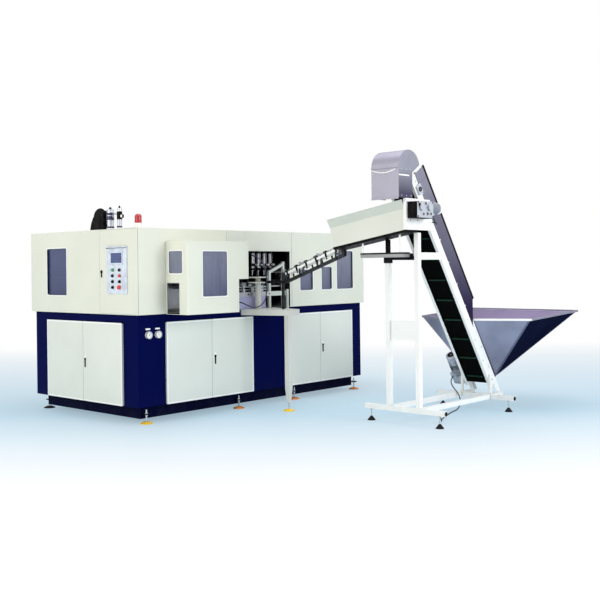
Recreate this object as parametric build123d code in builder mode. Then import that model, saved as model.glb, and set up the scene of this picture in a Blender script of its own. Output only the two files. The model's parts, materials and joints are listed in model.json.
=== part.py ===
from build123d import *
import math
import os

os.makedirs("parts", exist_ok=True)

# Blow moulding machine with its preform elevator, in millimetres.
# The origin is the middle of the underside of the levelling pad at the cabinet's near corner.
# X runs along the cabinet's long front, Y runs into its depth and Z is up.

# Cabinet
cabinet_length = 3700
cabinet_width = 1920
cabinet_underside = 180
cabinet_height = 970
deck_thickness = 20
skin = 3
frame_tube = 50
floor_thickness = 6
seam = 3

# Plinth and levelling feet
plinth_inset = 90
plinth_floor_gap = 50
plinth_wall = 6
foot_inset_x = 135
far_foot_inset_x = 93
foot_inset_y = 45
middle_foot_1 = 1483
middle_foot_2 = 2433
pad_diameter = 130
pad_height = 22
pad_rim = 8
stud_diameter = 16
stud_height = 150
nut_across = 26
nut_height = 12
lug_width = 60
lug_thickness = 10
lug_height = 95
hole_play = 0.5

# Lower doors
door_leaf = 20
door_gap = 1
door_lap = 15
door_foot_gap = 10
door_height = 865
split_gap = 4
front_door_1 = 365
front_door_1_width = 1302
front_door_2 = 2220
front_door_2_width = 1287
end_door = 245
end_door_width = 1415
pin_diameter = 6
pin_inset = 5
pin_depth = 6
hinge_lug = 22
hinge_lug_thickness = 6
pin_play = 0.3

# Latches
latch_inset = 45
latch_height = 615
latch_plate_length = 150
latch_plate_width = 34
latch_plate_thickness = 2
latch_boss = 26
latch_lever_length = 92
latch_lever_width = 16
latch_lever_thickness = 7
latch_spindle = 10
running_gap = 0.3

# Upper enclosure
overhang = 38
enclosure_top = 2060
roof_thickness = 4
panel = 20
sill_thickness = 6
sill_width = 60
upper_post = 40
panel_end_split = 603
sheet_split_1 = 1243
sheet_split_2 = 2325
opening_right = 2290
opening_head = 1825
jamb_gap = 5

# Windows
pane = 5
pane_lap = 14
trim_width = 12
trim_proud = 3
window_corner = 18
window_sill_rise = 188
end_window_from_split = 624
end_window_width = 391
end_window_height = 530
right_window_from_split = 151
right_window_1_width = 236
right_window_1_height = 256
right_window_gap_1 = 168
right_window_2_width = 199
right_window_2_height = 287
right_window_gap_2 = 103
right_window_3_width = 326
right_window_3_height = 492
bay_window_margin = 210
bay_window_width = 350
bay_window_sill_rise = 174
bay_window_height = 480
bay_side_window_margin = 80
bay_side_window_width = 215
bay_side_window_sill_rise = 424
bay_side_window_height = 235

# Front bay
bay_left = 350
bay_right = 1255
bay_depth = 352
bay_bottom = 1145
bay_top = 1920
bay_wall = 4
bay_corner = 28
bay_flange = 22
notch_width = 165
notch_top = 1507
outlet_top = 1480
outlet_front = 220
outlet_back = 22

# Control door and console
control_clearance = 2
control_pin_inset = 8
control_pin_diameter = 8
console_near = 111
console_width = 347
console_bottom = 1372
console_height = 498
console_thickness = 12
console_hood = 16
screen_near = 192
screen_width = 189
screen_bottom = 1697
screen_height = 106
screen_thickness = 5
button_column_near = 228
button_column_far = 348
button_row_top = 1622
button_pitch = 61
button_stem = 22
button_cap = 32
button_height = 10
button_fillet = 2
button_proud = 8
button_travel = 5
stop_cap = 46
stop_height = 16
selector_boss = 6
selector_grip = 9
selector_reach = 14
bezel_width = 14
bezel_proud = 3
control_latch_inset = 39
control_latch_height = 1604
control_latch_knob = 34
control_latch_lever = 60

# Roof fittings and gauges
beacon_diameter = 85
beacon_base_height = 55
beacon_lens_height = 98
beacon_step = 5
beacon_dome = 32
beacon_inset = 138
roof_fitting_x = 450
filter_far_y = 1066
filter_near_y = 892
filter_diameter = 80
filter_height = 262
vessel_flange = 10
vessel_band = 0.7
silencer_diameter = 52
silencer_height = 270
roof_pipe_diameter = 48
roof_pipe_bend = 92
roof_pipe_rise = 170
roof_pipe_y = 1170
gauge_near_x = 132
gauge_pitch = 127
gauge_height = 935
gauge_diameter = 76
gauge_depth = 24
gauge_bezel = 5
gauge_dial_depth = 3

# Infeed table, star wheel and transfer
table_left = 1490
table_width = 550
table_end_left = 1670
table_end_width = 192
table_reach = 580
table_top = 1149
table_skirt = 67
table_wall = 4
table_leg = 60
leg_foot = 34
leg_taper = 160
leg_end = 95
star_reach = 60
star_x = 1715
star_radius = 120
star_hub = 60
pocket_set_out = 4
star_thickness = 14
star_spacing = 60
star_rise = 50
star_clearance = 40
star_pockets = 8
pocket_radius = 17
column_diameter = 70
star_shaft = 30
star_shaft_share = 0.665
bed_beam_bottom = 1292
bed_beam_height = 53
bed_beam_depth = 40
bed_beam_left = 1260
bed_beam_length = 1020
guard_left = 1400
guard_length = 500
guard_sheet = 3
infeed_bar = 30
upright_1 = 1980
upright_1_height = 440
upright_2 = 2220
upright_2_height = 550
light_post = 25
light_post_bottom = 1094
light_post_height = 270
gantry_y = 180
gantry_bottom = 1830
gantry_tube = 40
cylinder_diameter = 46
cylinder_length = 230
cylinder_first = 1880
cylinder_pitch = 100
cylinder_count = 4
piston_rod = 16
piston_length = 60

# Oven, track and mandrels
track_wheel_x = 1745
track_length = 1705
track_y = 230
track_radius = 150
track_width = 80
track_thickness = 12
track_level = 1400
track_leg = 40
mandrel_diameter = 24
mandrel_height = 70
mandrel_count = 40
wheel_radius = 136
wheel_hub = 90
wheel_thickness = 20
wheel_gap = 2
wheel_shaft = 40
wheel_bearing = 110
wheel_bearing_share = 0.24
oven_start = 2420
oven_length = 900
oven_width = 120
oven_rise = 80
oven_height = 210
oven_end_plate = 6
oven_end_reach = 40
lamp_diameter = 12
lamp_rows = 4
lamp_pitch = 45
lamp_gap = 12

# Mould station
mould_x = 800
mould_y = 800
station_length = 800
station_half_span = 450
station_base = 30
station_plate = 40
station_plate_width = 680
station_height = 480
station_rise = 10
platen_length = 640
platen_thickness = 40
platen_height = 440
tie_bar = 50
tie_bar_spread = 280
tie_bar_rise = 170
mould_length = 480
mould_thickness = 130
mould_height = 380
mould_open = 110
cavity_count = 4
cavity_pitch = 115
bottle_diameter = 66
bottle_height = 250
neck_diameter = 28
clamp_rod = 60
clamp_rod_length = 290
blow_beam_gap = 25
blow_beam_height = 40
blow_beam_width = 80
blow_post = 40
blow_post_gap = 20
nozzle_diameter = 34
nozzle_height = 20
stretch_rod = 12
stretch_rise = 255
stretch_plate = 20
stretch_plate_width = 60
stretch_column = 25
stretch_spread = 310

# Drive and switchgear in the lower cabinet
drive_x = 500
drive_y = 1050
skid_length = 900
skid_width = 320
skid_height = 60
gearcase_length = 260
gearcase_height = 240
drive_motor_diameter = 220
drive_motor_length = 360
switch_x = 2300
switch_y = 1500
switch_plate_width = 1100
switch_plate_height = 700
switch_plate_thickness = 6
switch_block_depth = 90
switch_rail_length = 1000
switch_leg = 40

# Elevator frame
tower_x = 1794
tower_length = 1365
tower_y = -2088
tower_cross_bar = 1010
tower_tube = 50
tower_bar_level = 125
tower_post_half = 186
base_overrun = 240
tower_post_top = 1660
tower_clamp = 66
tower_clamp_height = 80
tower_inner_tube = 38
tower_foot_diameter = 90
tower_foot_inset = 75
tower_foot_height = 45
tower_foot_neck = 22
tower_stud = 14
tower_plate_bottom = 865
tower_plate_height = 200
tower_plate_thickness = 6
tower_beam_bottom = 1692
tower_beam_height = 72
tower_beam_width = 30
tower_beam_length = 480
strut_width = 26
strut_x = 3187
strut_top = 390
catch_bottom = 1718
catch_height = 50
catch_width = 125
catch_start = -2200
catch_length = 540
catch_sheet = 3
hanger_width = 24
hanger_inset = 20

# Conveyor
conveyor_slope = 56.1
conveyor_foot_x = 3255
conveyor_foot_z = 330
conveyor_run = 2600
conveyor_width = 336
conveyor_depth = 130
conveyor_wall = 4
conveyor_flange = 35
conveyor_foot_over = 62
conveyor_head_over = 72
conveyor_leg_low = -5
tie_tube = 30
tie_count = 4
skirt_depth = 122
skirt_foot = 800
skirt_sheet = 4
edge_trim_depth = 32
edge_trim_width = 12
drum_diameter = 80
drum_shaft = 25
belt_thickness = 5
belt_width = 296
cleat_width = 210
cleat_height = 16
cleat_thickness = 8
cleat_pitch = 267
cleat_start = 72
cleat_count = 10
drum_gap = 0.4
belt_motor_diameter = 120
belt_motor_length = 230
gearbox_half = 58
gearbox_depth = 126
fan_cover = 50
terminal_box = 70
terminal_depth = 40

# Head hood
hood_front = 1505
hood_radius = 183
hood_top = 2802
hood_front_bottom = 2300
hood_side_bottom = 2312
hood_cheek_back = 1740
hood_back_angle = 13
hood_sheet = 3
hood_bead = 16
hood_bead_rise = 2612
hood_bead_proud = 7

# Hopper
hopper_top = 1026
hopper_far_top = 1076
hopper_near_x = 3163
hopper_far_x = 4280
hopper_half_width = 712
hopper_start_x = 2880
hopper_apex_x = 3340
hopper_apex_z = 360
hopper_sheet = 4
hopper_rim = 22

# Orienter
orienter_x = 1712
orienter_width = 240
orienter_slope = 9.4
orienter_high_z = 1992
orienter_length = 950
orienter_height = 210
orienter_lip = 88
orienter_lip_flare = 42
orienter_sheet = 4
orienter_beam = 26
orienter_beam_inset = 8
roller_diameter = 84
roller_gap = 34
roller_shaft = 20
roller_level = 92
roller_end_gap = 8
roller_shaft_in = 45
orienter_end_wall = 6
end_plate_thickness = 38
end_plate_x = 1578
end_plate_width = 420
end_plate_height = 315
outlet_width = 40
outlet_bottom = 30
gearcase_x = 1600
gearcase_width = 280
gearcase_bottom = 2110
gearcase_top = 2275
gearcase_depth = 120
orienter_motor_diameter = 110
orienter_motor_length = 180
orienter_motor_z = 2215

# Preform rail
rail_gap = 26
rail_bar = 12
rail_depth = 30
rail_start_y = -1390
rail_start_z = 1775
rail_bend_y = -520
rail_rise = 28
rail_end_y = -205
guard_rise = 92
guard_bar = 12
guard_offset = 30
guard_end_y = -330
bracket_count = 4
bracket_bar = 14
bracket_first_y = -1290
bracket_pitch = 250
rail_post = 25
rail_post_x = 1765
rail_post_y = -420

# Cables and hose
motor_cable = 12
floor_clearance = 1
orienter_cable = 10
hose_diameter = 14
gland_diameter = 22
gland_length = 14
cable_lead = 60
cord_lead = 30
orienter_cable_x = 2090
orienter_cable_z = 2078
hose_start_x = 1440
hose_start_z = 1235
hose_end_x = 1670
hose_end_z = 1850
cable_gland_x = 62

# Derived lines of the cabinet
cab_x0 = -foot_inset_x
cab_x1 = cab_x0 + cabinet_length
cab_y0 = -foot_inset_y
cab_y1 = cab_y0 + cabinet_width
deck_top = cabinet_underside + cabinet_height
deck_under = deck_top - deck_thickness
leaf_bottom = cabinet_underside + door_foot_gap
leaf_top = leaf_bottom + door_height
header_bottom = leaf_top - door_lap
front_leaf_back = cab_y0 - door_gap
front_leaf_face = front_leaf_back - door_leaf
end_leaf_back = cab_x0 - door_gap
end_leaf_face = end_leaf_back - door_leaf
face_y = cab_y0 - overhang
end_x = cab_x0 - overhang
panel_back_y = face_y + panel
panel_back_x = end_x + panel
roof_under = enclosure_top - roof_thickness
panel_bottom = deck_top + sill_thickness
far_end_x = cab_x1 + overhang
far_side_y = cab_y1 + overhang

# Levels that follow the chain track, and stay clear of the bed beam
oven_bottom = track_level + oven_rise
star_level = max(track_level + star_rise, bed_beam_bottom + bed_beam_height + star_clearance)
rail_level = star_level + rail_rise


def block(xs, ys, zs, mode=Mode.ADD):
    """Adds a box that runs between two values along each axis."""
    middle = ((xs[0] + xs[1]) / 2, (ys[0] + ys[1]) / 2, (zs[0] + zs[1]) / 2)
    with Locations(middle):
        Box(abs(xs[1] - xs[0]), abs(ys[1] - ys[0]), abs(zs[1] - zs[0]), mode=mode)


def rod(start, end, radius, mode=Mode.ADD):
    """Adds a round bar from one point to another."""
    run = Vector(*end) - Vector(*start)
    with BuildSketch(Plane(origin=start, z_dir=run)) as section:
        Circle(radius)
    extrude(section.sketch, amount=run.length, mode=mode)


def bar(start, end, width, depth, across=(0, 1, 0), mode=Mode.ADD):
    """Adds a square bar from one point to another; its width lies along `across`."""
    run = Vector(*end) - Vector(*start)
    with BuildSketch(Plane(origin=start, x_dir=across, z_dir=run)) as section:
        Rectangle(width, depth)
    extrude(section.sketch, amount=run.length, mode=mode)


def plank(xs, ys, zs):
    """Makes a box that stays a solid of its own."""
    with BuildPart() as piece:
        block(xs, ys, zs)
    return piece.part


def save(piece, label):
    """Labels a finished piece and writes its file."""
    piece.label = label
    export_step(piece, f"parts/{label}.step")


def save_set(pieces, label):
    """Writes pieces that stay solids of their own as one file."""
    solids = [solid for piece in pieces for solid in piece.solids()]
    save(Compound(solids), label)


# Places shared by several pieces
foot_xs = [0, cab_x0 + middle_foot_1, cab_x0 + middle_foot_2, cab_x1 - far_foot_inset_x]
foot_ys = [0, cab_y1 - foot_inset_y]
foot_places = [(x, y) for x in foot_xs for y in foot_ys]
door_1_span = (cab_x0 + front_door_1, cab_x0 + front_door_1 + front_door_1_width)
door_2_span = (cab_x0 + front_door_2, cab_x0 + front_door_2 + front_door_2_width)
end_span = (cab_y0 + end_door, cab_y0 + end_door + end_door_width)
pin_y = front_leaf_back - door_leaf + pin_inset
pin_x = end_leaf_back - door_leaf + pin_inset
hole_top = leaf_top - door_lap
hole_bottom = cabinet_underside + door_foot_gap + door_lap

# Cabinet frame: floor plate, corner and jamb tubes, a ring of header tubes and the deck plate
inner_x0 = cab_x0 + skin
inner_x1 = cab_x1 - skin
inner_y0 = cab_y0 + skin
inner_y1 = cab_y1 - skin
jambs = [
    door_1_span[0] + door_lap - frame_tube,
    door_1_span[1] - door_lap,
    door_2_span[0] + door_lap - frame_tube,
    door_2_span[1] - door_lap,
]
end_jambs = [end_span[0] + door_lap - frame_tube, end_span[1] - door_lap]
floor_span = (cabinet_underside, cabinet_underside + floor_thickness)
post_span = (floor_span[1], header_bottom)
header_span = (header_bottom, deck_under)
header_side_y = (inner_y0 + frame_tube, inner_y1 - frame_tube)
cabinet_tubes = [
    plank((inner_x0, inner_x1), (inner_y0, inner_y1), floor_span),
    plank((inner_x0, inner_x1), (inner_y0, inner_y1), (deck_under, deck_top)),
]
for y in (inner_y0, inner_y1 - frame_tube):
    for x in [inner_x0, inner_x1 - frame_tube] + jambs:
        cabinet_tubes.append(plank((x, x + frame_tube), (y, y + frame_tube), post_span))
    cabinet_tubes.append(plank((inner_x0, inner_x1), (y, y + frame_tube), header_span))
for y in end_jambs:
    cabinet_tubes.append(plank((inner_x0, inner_x0 + frame_tube), (y, y + frame_tube), post_span))
for x in (inner_x0, inner_x1 - frame_tube):
    cabinet_tubes.append(plank((x, x + frame_tube), header_side_y, header_span))
save_set(cabinet_tubes, "cabinet_frame")

# Cabinet skins: navy strips between and round the door holes of the front and the near end, the
# back and far sheets, and the hinge lugs that carry the door pins above and below each leaf
skin_height = (cabinet_underside, deck_top)
low_lug = (leaf_bottom - door_gap - hinge_lug_thickness, leaf_bottom - door_gap)
high_lug = (leaf_top + door_gap, leaf_top + door_gap + hinge_lug_thickness)
pin_hole = pin_diameter / 2 + pin_play
front_skin = (cab_y0, inner_y0)
side_y = (inner_y0 + door_gap, inner_y1 - door_gap)
skin_sheets = [
    plank((cab_x0, cab_x1), (inner_y1, cab_y1), skin_height),
    plank((inner_x1, cab_x1), side_y, skin_height),
]
front_holes = [(low + door_lap, high - door_lap) for low, high in (door_1_span, door_2_span)]
piers = ((cab_x0, front_holes[0][0]), (front_holes[0][1], front_holes[1][0]), (front_holes[1][1], cab_x1))
for pier in piers:
    skin_sheets.append(plank(pier, front_skin, skin_height))
end_hole = (end_span[0] + door_lap, end_span[1] - door_lap)
for pier in ((side_y[0], end_hole[0]), (end_hole[1], side_y[1])):
    skin_sheets.append(plank((cab_x0, inner_x0), pier, skin_height))
for rise in ((cabinet_underside, hole_bottom), (hole_top, deck_top)):
    for hole in front_holes:
        skin_sheets.append(plank(hole, front_skin, rise))
    skin_sheets.append(plank((cab_x0, inner_x0), end_hole, rise))
with BuildPart() as hinge_lugs:
    for span in (door_1_span, door_2_span):
        for edge, inward in ((span[0], 1), (span[1], -1)):
            for level in (low_lug, high_lug):
                far = edge + inward * hinge_lug
                lug_x = (min(edge, far), max(edge, far))
                block(lug_x, (cab_y0 - hinge_lug, cab_y0), level)
                with Locations((edge + inward * pin_inset, pin_y, sum(level) / 2)):
                    Cylinder(pin_hole, hinge_lug_thickness, mode=Mode.SUBTRACT)
    for edge, inward in ((end_span[0], 1), (end_span[1], -1)):
        for level in (low_lug, high_lug):
            far = edge + inward * hinge_lug
            lug_y = (min(edge, far), max(edge, far))
            block((cab_x0 - hinge_lug, cab_x0), lug_y, level)
            with Locations((pin_x, edge + inward * pin_inset, sum(level) / 2)):
                Cylinder(pin_hole, hinge_lug_thickness, mode=Mode.SUBTRACT)
save_set(skin_sheets + [hinge_lugs.part], "cabinet_skins")

# Recessed plinth with the lugs that take the levelling studs
plinth_x = (cab_x0 + plinth_inset, cab_x1 - plinth_inset)
plinth_y = (cab_y0 + plinth_inset, cab_y1 - plinth_inset)
plinth_span = (plinth_floor_gap, cabinet_underside)
lug_span = (lug_height, lug_height + lug_thickness)
plinth_side_y = (plinth_y[0] + plinth_wall, plinth_y[1] - plinth_wall)
plinth_walls = []
for y in (plinth_y[0], plinth_y[1] - plinth_wall):
    plinth_walls.append(plank(plinth_x, (y, y + plinth_wall), plinth_span))
for x in (plinth_x[0], plinth_x[1] - plinth_wall):
    plinth_walls.append(plank((x, x + plinth_wall), plinth_side_y, plinth_span))
with BuildPart() as foot_lugs:
    for x, y in foot_places:
        lug_x = (x - lug_width / 2, x + lug_width / 2)
        lug_y = (y - lug_width / 2, plinth_y[0])
        if y > 0:
            lug_y = (plinth_y[1], y + lug_width / 2)
        block(lug_x, lug_y, lug_span)
    for x, y in foot_places:
        with Locations((x, y, lug_height + lug_thickness / 2)):
            Cylinder(stud_diameter / 2 + hole_play, lug_thickness, mode=Mode.SUBTRACT)
save_set(plinth_walls + [foot_lugs.part], "plinth")

# Table leg's foot place, used by its pad and stud too
leg_x = cab_x0 + table_end_left + table_leg / 2
leg_y = cab_y0 - table_reach + table_leg / 2


def pad(x, y):
    """Adds a round levelling pad with a sloping top."""
    with Locations((x, y, pad_rim / 2)):
        Cylinder(pad_diameter / 2, pad_rim)
    slope_height = pad_height - pad_rim
    with Locations((x, y, pad_rim + slope_height / 2)):
        Cone(pad_diameter / 2, pad_diameter / 4, slope_height)


def stud_with_nuts(x, y, top, lug_bottom, lug_top):
    """Adds a levelling stud with a nut under and over its lug."""
    rod((x, y, pad_height), (x, y, top), stud_diameter / 2)
    for base in (lug_bottom - nut_height, lug_top):
        with BuildSketch(Plane.XY.offset(base)) as nut:
            with Locations((x, y)):
                RegularPolygon(nut_across / math.sqrt(3), 6)
        extrude(nut.sketch, amount=nut_height)


# Levelling feet: yellow pads with studs and lock nuts, under the cabinet and the table leg
with BuildPart() as levelling_feet:
    for x, y in foot_places + [(leg_x, leg_y)]:
        pad(x, y)
    for x, y in foot_places:
        stud_with_nuts(x, y, stud_height, lug_span[0], lug_span[1])
    rod((leg_x, leg_y, pad_height), (leg_x, leg_y, leg_end), stud_diameter / 2)
    with BuildSketch(Plane.XY.offset(leg_end - nut_height)) as leg_nut:
        with Locations((leg_x, leg_y)):
            RegularPolygon(nut_across / math.sqrt(3), 6)
    extrude(leg_nut.sketch, amount=nut_height)
save(levelling_feet.part, "levelling_feet")


def door_pins(x, y):
    """Adds the two hinge pins of a leaf."""
    rod((x, y, leaf_bottom), (x, y, leaf_bottom - door_gap - pin_depth), pin_diameter / 2)
    rod((x, y, leaf_top), (x, y, leaf_top + door_gap + pin_depth), pin_diameter / 2)


def latch_seat(plane):
    """Adds the oval latch plate to a leaf and drills its spindle hole."""
    with BuildSketch(plane) as plate:
        SlotOverall(latch_plate_length, latch_plate_width, rotation=90)
    extrude(plate.sketch, amount=latch_plate_thickness)
    with BuildSketch(plane.offset(latch_plate_thickness)) as hole:
        with Locations((0, latch_lever_length / 3)):
            Circle(latch_spindle / 2 + running_gap)
    extrude(hole.sketch, amount=-door_leaf - latch_plate_thickness, mode=Mode.SUBTRACT)


def latch_lever(plane):
    """Adds a quarter-turn lever with its boss and spindle."""
    seat = plane.offset(latch_plate_thickness + running_gap)
    with BuildSketch(seat) as boss:
        with Locations((0, latch_lever_length / 3)):
            Circle(latch_boss / 2)
    extrude(boss.sketch, amount=latch_lever_thickness)
    with BuildSketch(seat) as lever:
        with Locations((0, -latch_lever_length / 6)):
            SlotOverall(latch_lever_length, latch_lever_width, rotation=90)
    extrude(lever.sketch, amount=latch_lever_thickness)
    with BuildSketch(seat) as spindle:
        with Locations((0, latch_lever_length / 3)):
            Circle(latch_spindle / 2)
    extrude(spindle.sketch, amount=-door_leaf - latch_plate_thickness)


def front_latch_plane(span):
    """The latch's plane on the right leaf of a pair, facing out of the front."""
    middle = (span[0] + span[1]) / 2
    origin = (middle + latch_inset, front_leaf_face, latch_height)
    return Plane(origin=origin, x_dir=(1, 0, 0), z_dir=(0, -1, 0))


end_middle = (end_span[0] + end_span[1]) / 2
end_latch_plane = Plane(
    origin=(end_leaf_face, end_middle - latch_inset, latch_height),
    x_dir=(0, -1, 0),
    z_dir=(-1, 0, 0),
)


def door_pair(span, labels, on_front):
    """Makes both leaves of a pair; the latch sits on the leaf named first."""
    middle = (span[0] + span[1]) / 2
    near_leaf = (span[0], middle - split_gap / 2)
    far_leaf = (middle + split_gap / 2, span[1])
    leaf_height = (leaf_bottom, leaf_top)
    latch_first = {True: far_leaf, False: near_leaf}[on_front]
    latch_second = {True: near_leaf, False: far_leaf}[on_front]
    for label, leaf_span in zip(labels, (latch_first, latch_second)):
        pin_side = span[0] + pin_inset
        if leaf_span == far_leaf:
            pin_side = span[1] - pin_inset
        with BuildPart() as leaf:
            if on_front:
                block(leaf_span, (front_leaf_face, front_leaf_back), leaf_height)
                door_pins(pin_side, pin_y)
            else:
                block((end_leaf_face, end_leaf_back), leaf_span, leaf_height)
                door_pins(pin_x, pin_side)
            if label == labels[0]:
                latch_seat(front_latch_plane(span) if on_front else end_latch_plane)
        save(leaf.part, label)


door_pair(door_1_span, ("front_door_1_right", "front_door_1_left"), True)
door_pair(door_2_span, ("front_door_2_right", "front_door_2_left"), True)
door_pair(end_span, ("end_door_near", "end_door_far"), False)

# Quarter-turn latch levers
latches = (
    ("front_latch_1", front_latch_plane(door_1_span)),
    ("front_latch_2", front_latch_plane(door_2_span)),
    ("end_latch", end_latch_plane),
)
for label, plane in latches:
    with BuildPart() as lever:
        latch_lever(plane)
    save(lever.part, label)

# Enclosure frame: sill strips, posts and top rails
bay_x = (cab_x0 + bay_left, cab_x0 + bay_right)
opening_x = (bay_x[1], cab_x0 + opening_right)
post_xs = [
    panel_back_x,
    bay_x[0] - upper_post,
    bay_x[1] - upper_post,
    opening_x[1],
    far_end_x - panel - upper_post,
]
post_y = (panel_back_y, panel_back_y + upper_post)
back_post_y = (far_side_y - panel - upper_post, far_side_y - panel)
split_y = cab_y0 + panel_end_split
split_x1 = cab_x0 + sheet_split_1
split_x2 = cab_x0 + sheet_split_2
sill_span = (deck_top, panel_bottom)
top_rail = (roof_under - upper_post, roof_under)
control_pin = (end_x + control_pin_inset, face_y + control_pin_inset)
sill_in_x = (end_x + sill_width, far_end_x - sill_width)
clear_x = (opening_x[0] + jamb_gap, opening_x[1] - jamb_gap)
sill_front = (face_y, face_y + sill_width)
with BuildPart() as near_sill:
    block((end_x, sill_in_x[0]), (face_y, far_side_y), sill_span)
    with Locations((control_pin[0], control_pin[1], sum(sill_span) / 2)):
        Cylinder(control_pin_diameter / 2 + pin_play, sill_thickness, mode=Mode.SUBTRACT)
enclosure_tubes = [
    near_sill.part,
    plank((sill_in_x[1], far_end_x), (face_y, far_side_y), sill_span),
    plank(sill_in_x, (far_side_y - sill_width, far_side_y), sill_span),
    plank((sill_in_x[0], clear_x[0]), sill_front, sill_span),
    plank((clear_x[1], sill_in_x[1]), sill_front, sill_span),
]
upright_span = (panel_bottom, top_rail[0])
end_post_y = (split_y - upper_post / 2, split_y + upper_post / 2)
enclosure_tubes.append(plank((panel_back_x, panel_back_x + upper_post), end_post_y, upright_span))
rail_x_span = (panel_back_x, far_end_x - panel)
for y in (post_y, back_post_y):
    for x in post_xs:
        enclosure_tubes.append(plank((x, x + upper_post), y, upright_span))
    enclosure_tubes.append(plank(rail_x_span, y, top_rail))
for x in (post_xs[0], post_xs[-1]):
    enclosure_tubes.append(plank((x, x + upper_post), (post_y[1], back_post_y[0]), top_rail))

# Roof sheet
with BuildPart() as roof_sheet:
    block((end_x, far_end_x), (face_y, far_side_y), (roof_under, enclosure_top))
    with Locations((control_pin[0], control_pin[1], roof_under + roof_thickness / 2)):
        Cylinder(control_pin_diameter / 2 + pin_play, roof_thickness, mode=Mode.SUBTRACT)
save_set(enclosure_tubes + [roof_sheet.part], "enclosure_frame")


def window_box(start, width, sill_rise, height):
    """A window as a span along its face and a span in height over the panels' foot."""
    sill = panel_bottom + sill_rise
    return ((start, start + width), (sill, sill + height))


bay_face_y = face_y - bay_depth
end_window_y = split_y + end_window_from_split
end_window = window_box(end_window_y, end_window_width, window_sill_rise, end_window_height)
window_1_x = split_x2 + right_window_from_split
window_2_x = window_1_x + right_window_1_width + right_window_gap_1
window_3_x = window_2_x + right_window_2_width + right_window_gap_2
right_windows = [
    window_box(window_1_x, right_window_1_width, window_sill_rise, right_window_1_height),
    window_box(window_2_x, right_window_2_width, window_sill_rise, right_window_2_height),
    window_box(window_3_x, right_window_3_width, window_sill_rise, right_window_3_height),
]
bay_window_x = bay_x[0] + bay_window_margin
bay_window = window_box(bay_window_x, bay_window_width, bay_window_sill_rise, bay_window_height)
bay_side_window = window_box(
    bay_face_y + bay_side_window_margin,
    bay_side_window_width,
    bay_side_window_sill_rise,
    bay_side_window_height,
)


def face_plane(origin, normal):
    """A plane on an upright face whose local Y is up."""
    across = Vector(0, 0, 1).cross(Vector(*normal))
    return Plane(origin=origin, x_dir=across, z_dir=normal)


def window_plane(window, side):
    """The plane at the middle of a window and its width and height."""
    (low, high), (bottom, top) = window
    middle = (low + high) / 2
    level = (bottom + top) / 2
    origins = {
        "end": (end_x, middle, level),
        "front": (middle, face_y, level),
        "bay": (middle, bay_face_y, level),
        "bay_side": (bay_x[0], middle, level),
    }
    normals = {"end": (-1, 0, 0), "front": (0, -1, 0), "bay": (0, -1, 0), "bay_side": (-1, 0, 0)}
    return face_plane(origins[side], normals[side]), high - low, top - bottom


windows = [(end_window, "end", panel)]
windows += [(window, "front", panel) for window in right_windows]
windows += [(bay_window, "bay", bay_wall), (bay_side_window, "bay_side", bay_wall)]


def cut_windows(sides):
    """Cuts the rounded window holes of the named sides."""
    for window, side, wall in windows:
        if side in sides:
            plane, width, height = window_plane(window, side)
            with BuildSketch(plane) as hole:
                RectangleRounded(width, height, window_corner)
            extrude(hole.sketch, amount=-wall, mode=Mode.SUBTRACT)


def sheet(xs, ys, zs, side):
    """Makes a sheet that stays a solid of its own, with the window holes of its side."""
    with BuildPart() as piece:
        block(xs, ys, zs)
        cut_windows((side,))
    return piece.part


def raise_trims(sides):
    """Adds the white trim round each window of the named sides."""
    for window, side, wall in windows:
        if side in sides:
            plane, width, height = window_plane(window, side)
            with BuildSketch(plane) as trim:
                outer_corner = window_corner + trim_width
                RectangleRounded(width + 2 * trim_width, height + 2 * trim_width, outer_corner)
                RectangleRounded(width, height, window_corner, mode=Mode.SUBTRACT)
            extrude(trim.sketch, amount=trim_proud)


# Enclosure panels: near end, front in three sheets, far end and back, with window trims
panel_span = (panel_bottom, roof_under)
front_y = (face_y, panel_back_y)
control_leaf = panel - door_gap
corner_reach = math.hypot(control_leaf - control_pin_inset, control_pin_inset)
corner_x = control_pin[0] + corner_reach + control_clearance
bay_hole = (bay_x[0] + bay_flange, bay_x[1] - bay_flange)
first_end = split_x1 - seam / 2
second_start = split_x1 + seam / 2
second_end = split_x2 - seam / 2
far_y = (panel_back_y + seam, far_side_y)
back_x = (panel_back_x + seam, far_end_x - panel - seam)
upper_sheets = [
    sheet((end_x, panel_back_x), (split_y, far_side_y), panel_span, "end"),
    plank((corner_x, bay_hole[0]), front_y, panel_span),
    plank(bay_hole, front_y, (bay_top - bay_flange, roof_under)),
    plank((bay_hole[1], first_end), front_y, panel_span),
    plank((second_start, second_end), front_y, (opening_head, roof_under)),
    plank((opening_x[1], second_end), front_y, (panel_bottom, opening_head)),
    sheet((split_x2 + seam / 2, far_end_x), front_y, panel_span, "front"),
    plank((far_end_x - panel, far_end_x), far_y, panel_span),
    plank(back_x, (far_side_y - panel, far_side_y), panel_span),
]
with BuildPart() as panel_trims:
    raise_trims(("end", "front"))
save_set(upper_sheets + [panel_trims.part], "enclosure_panels")

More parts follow.
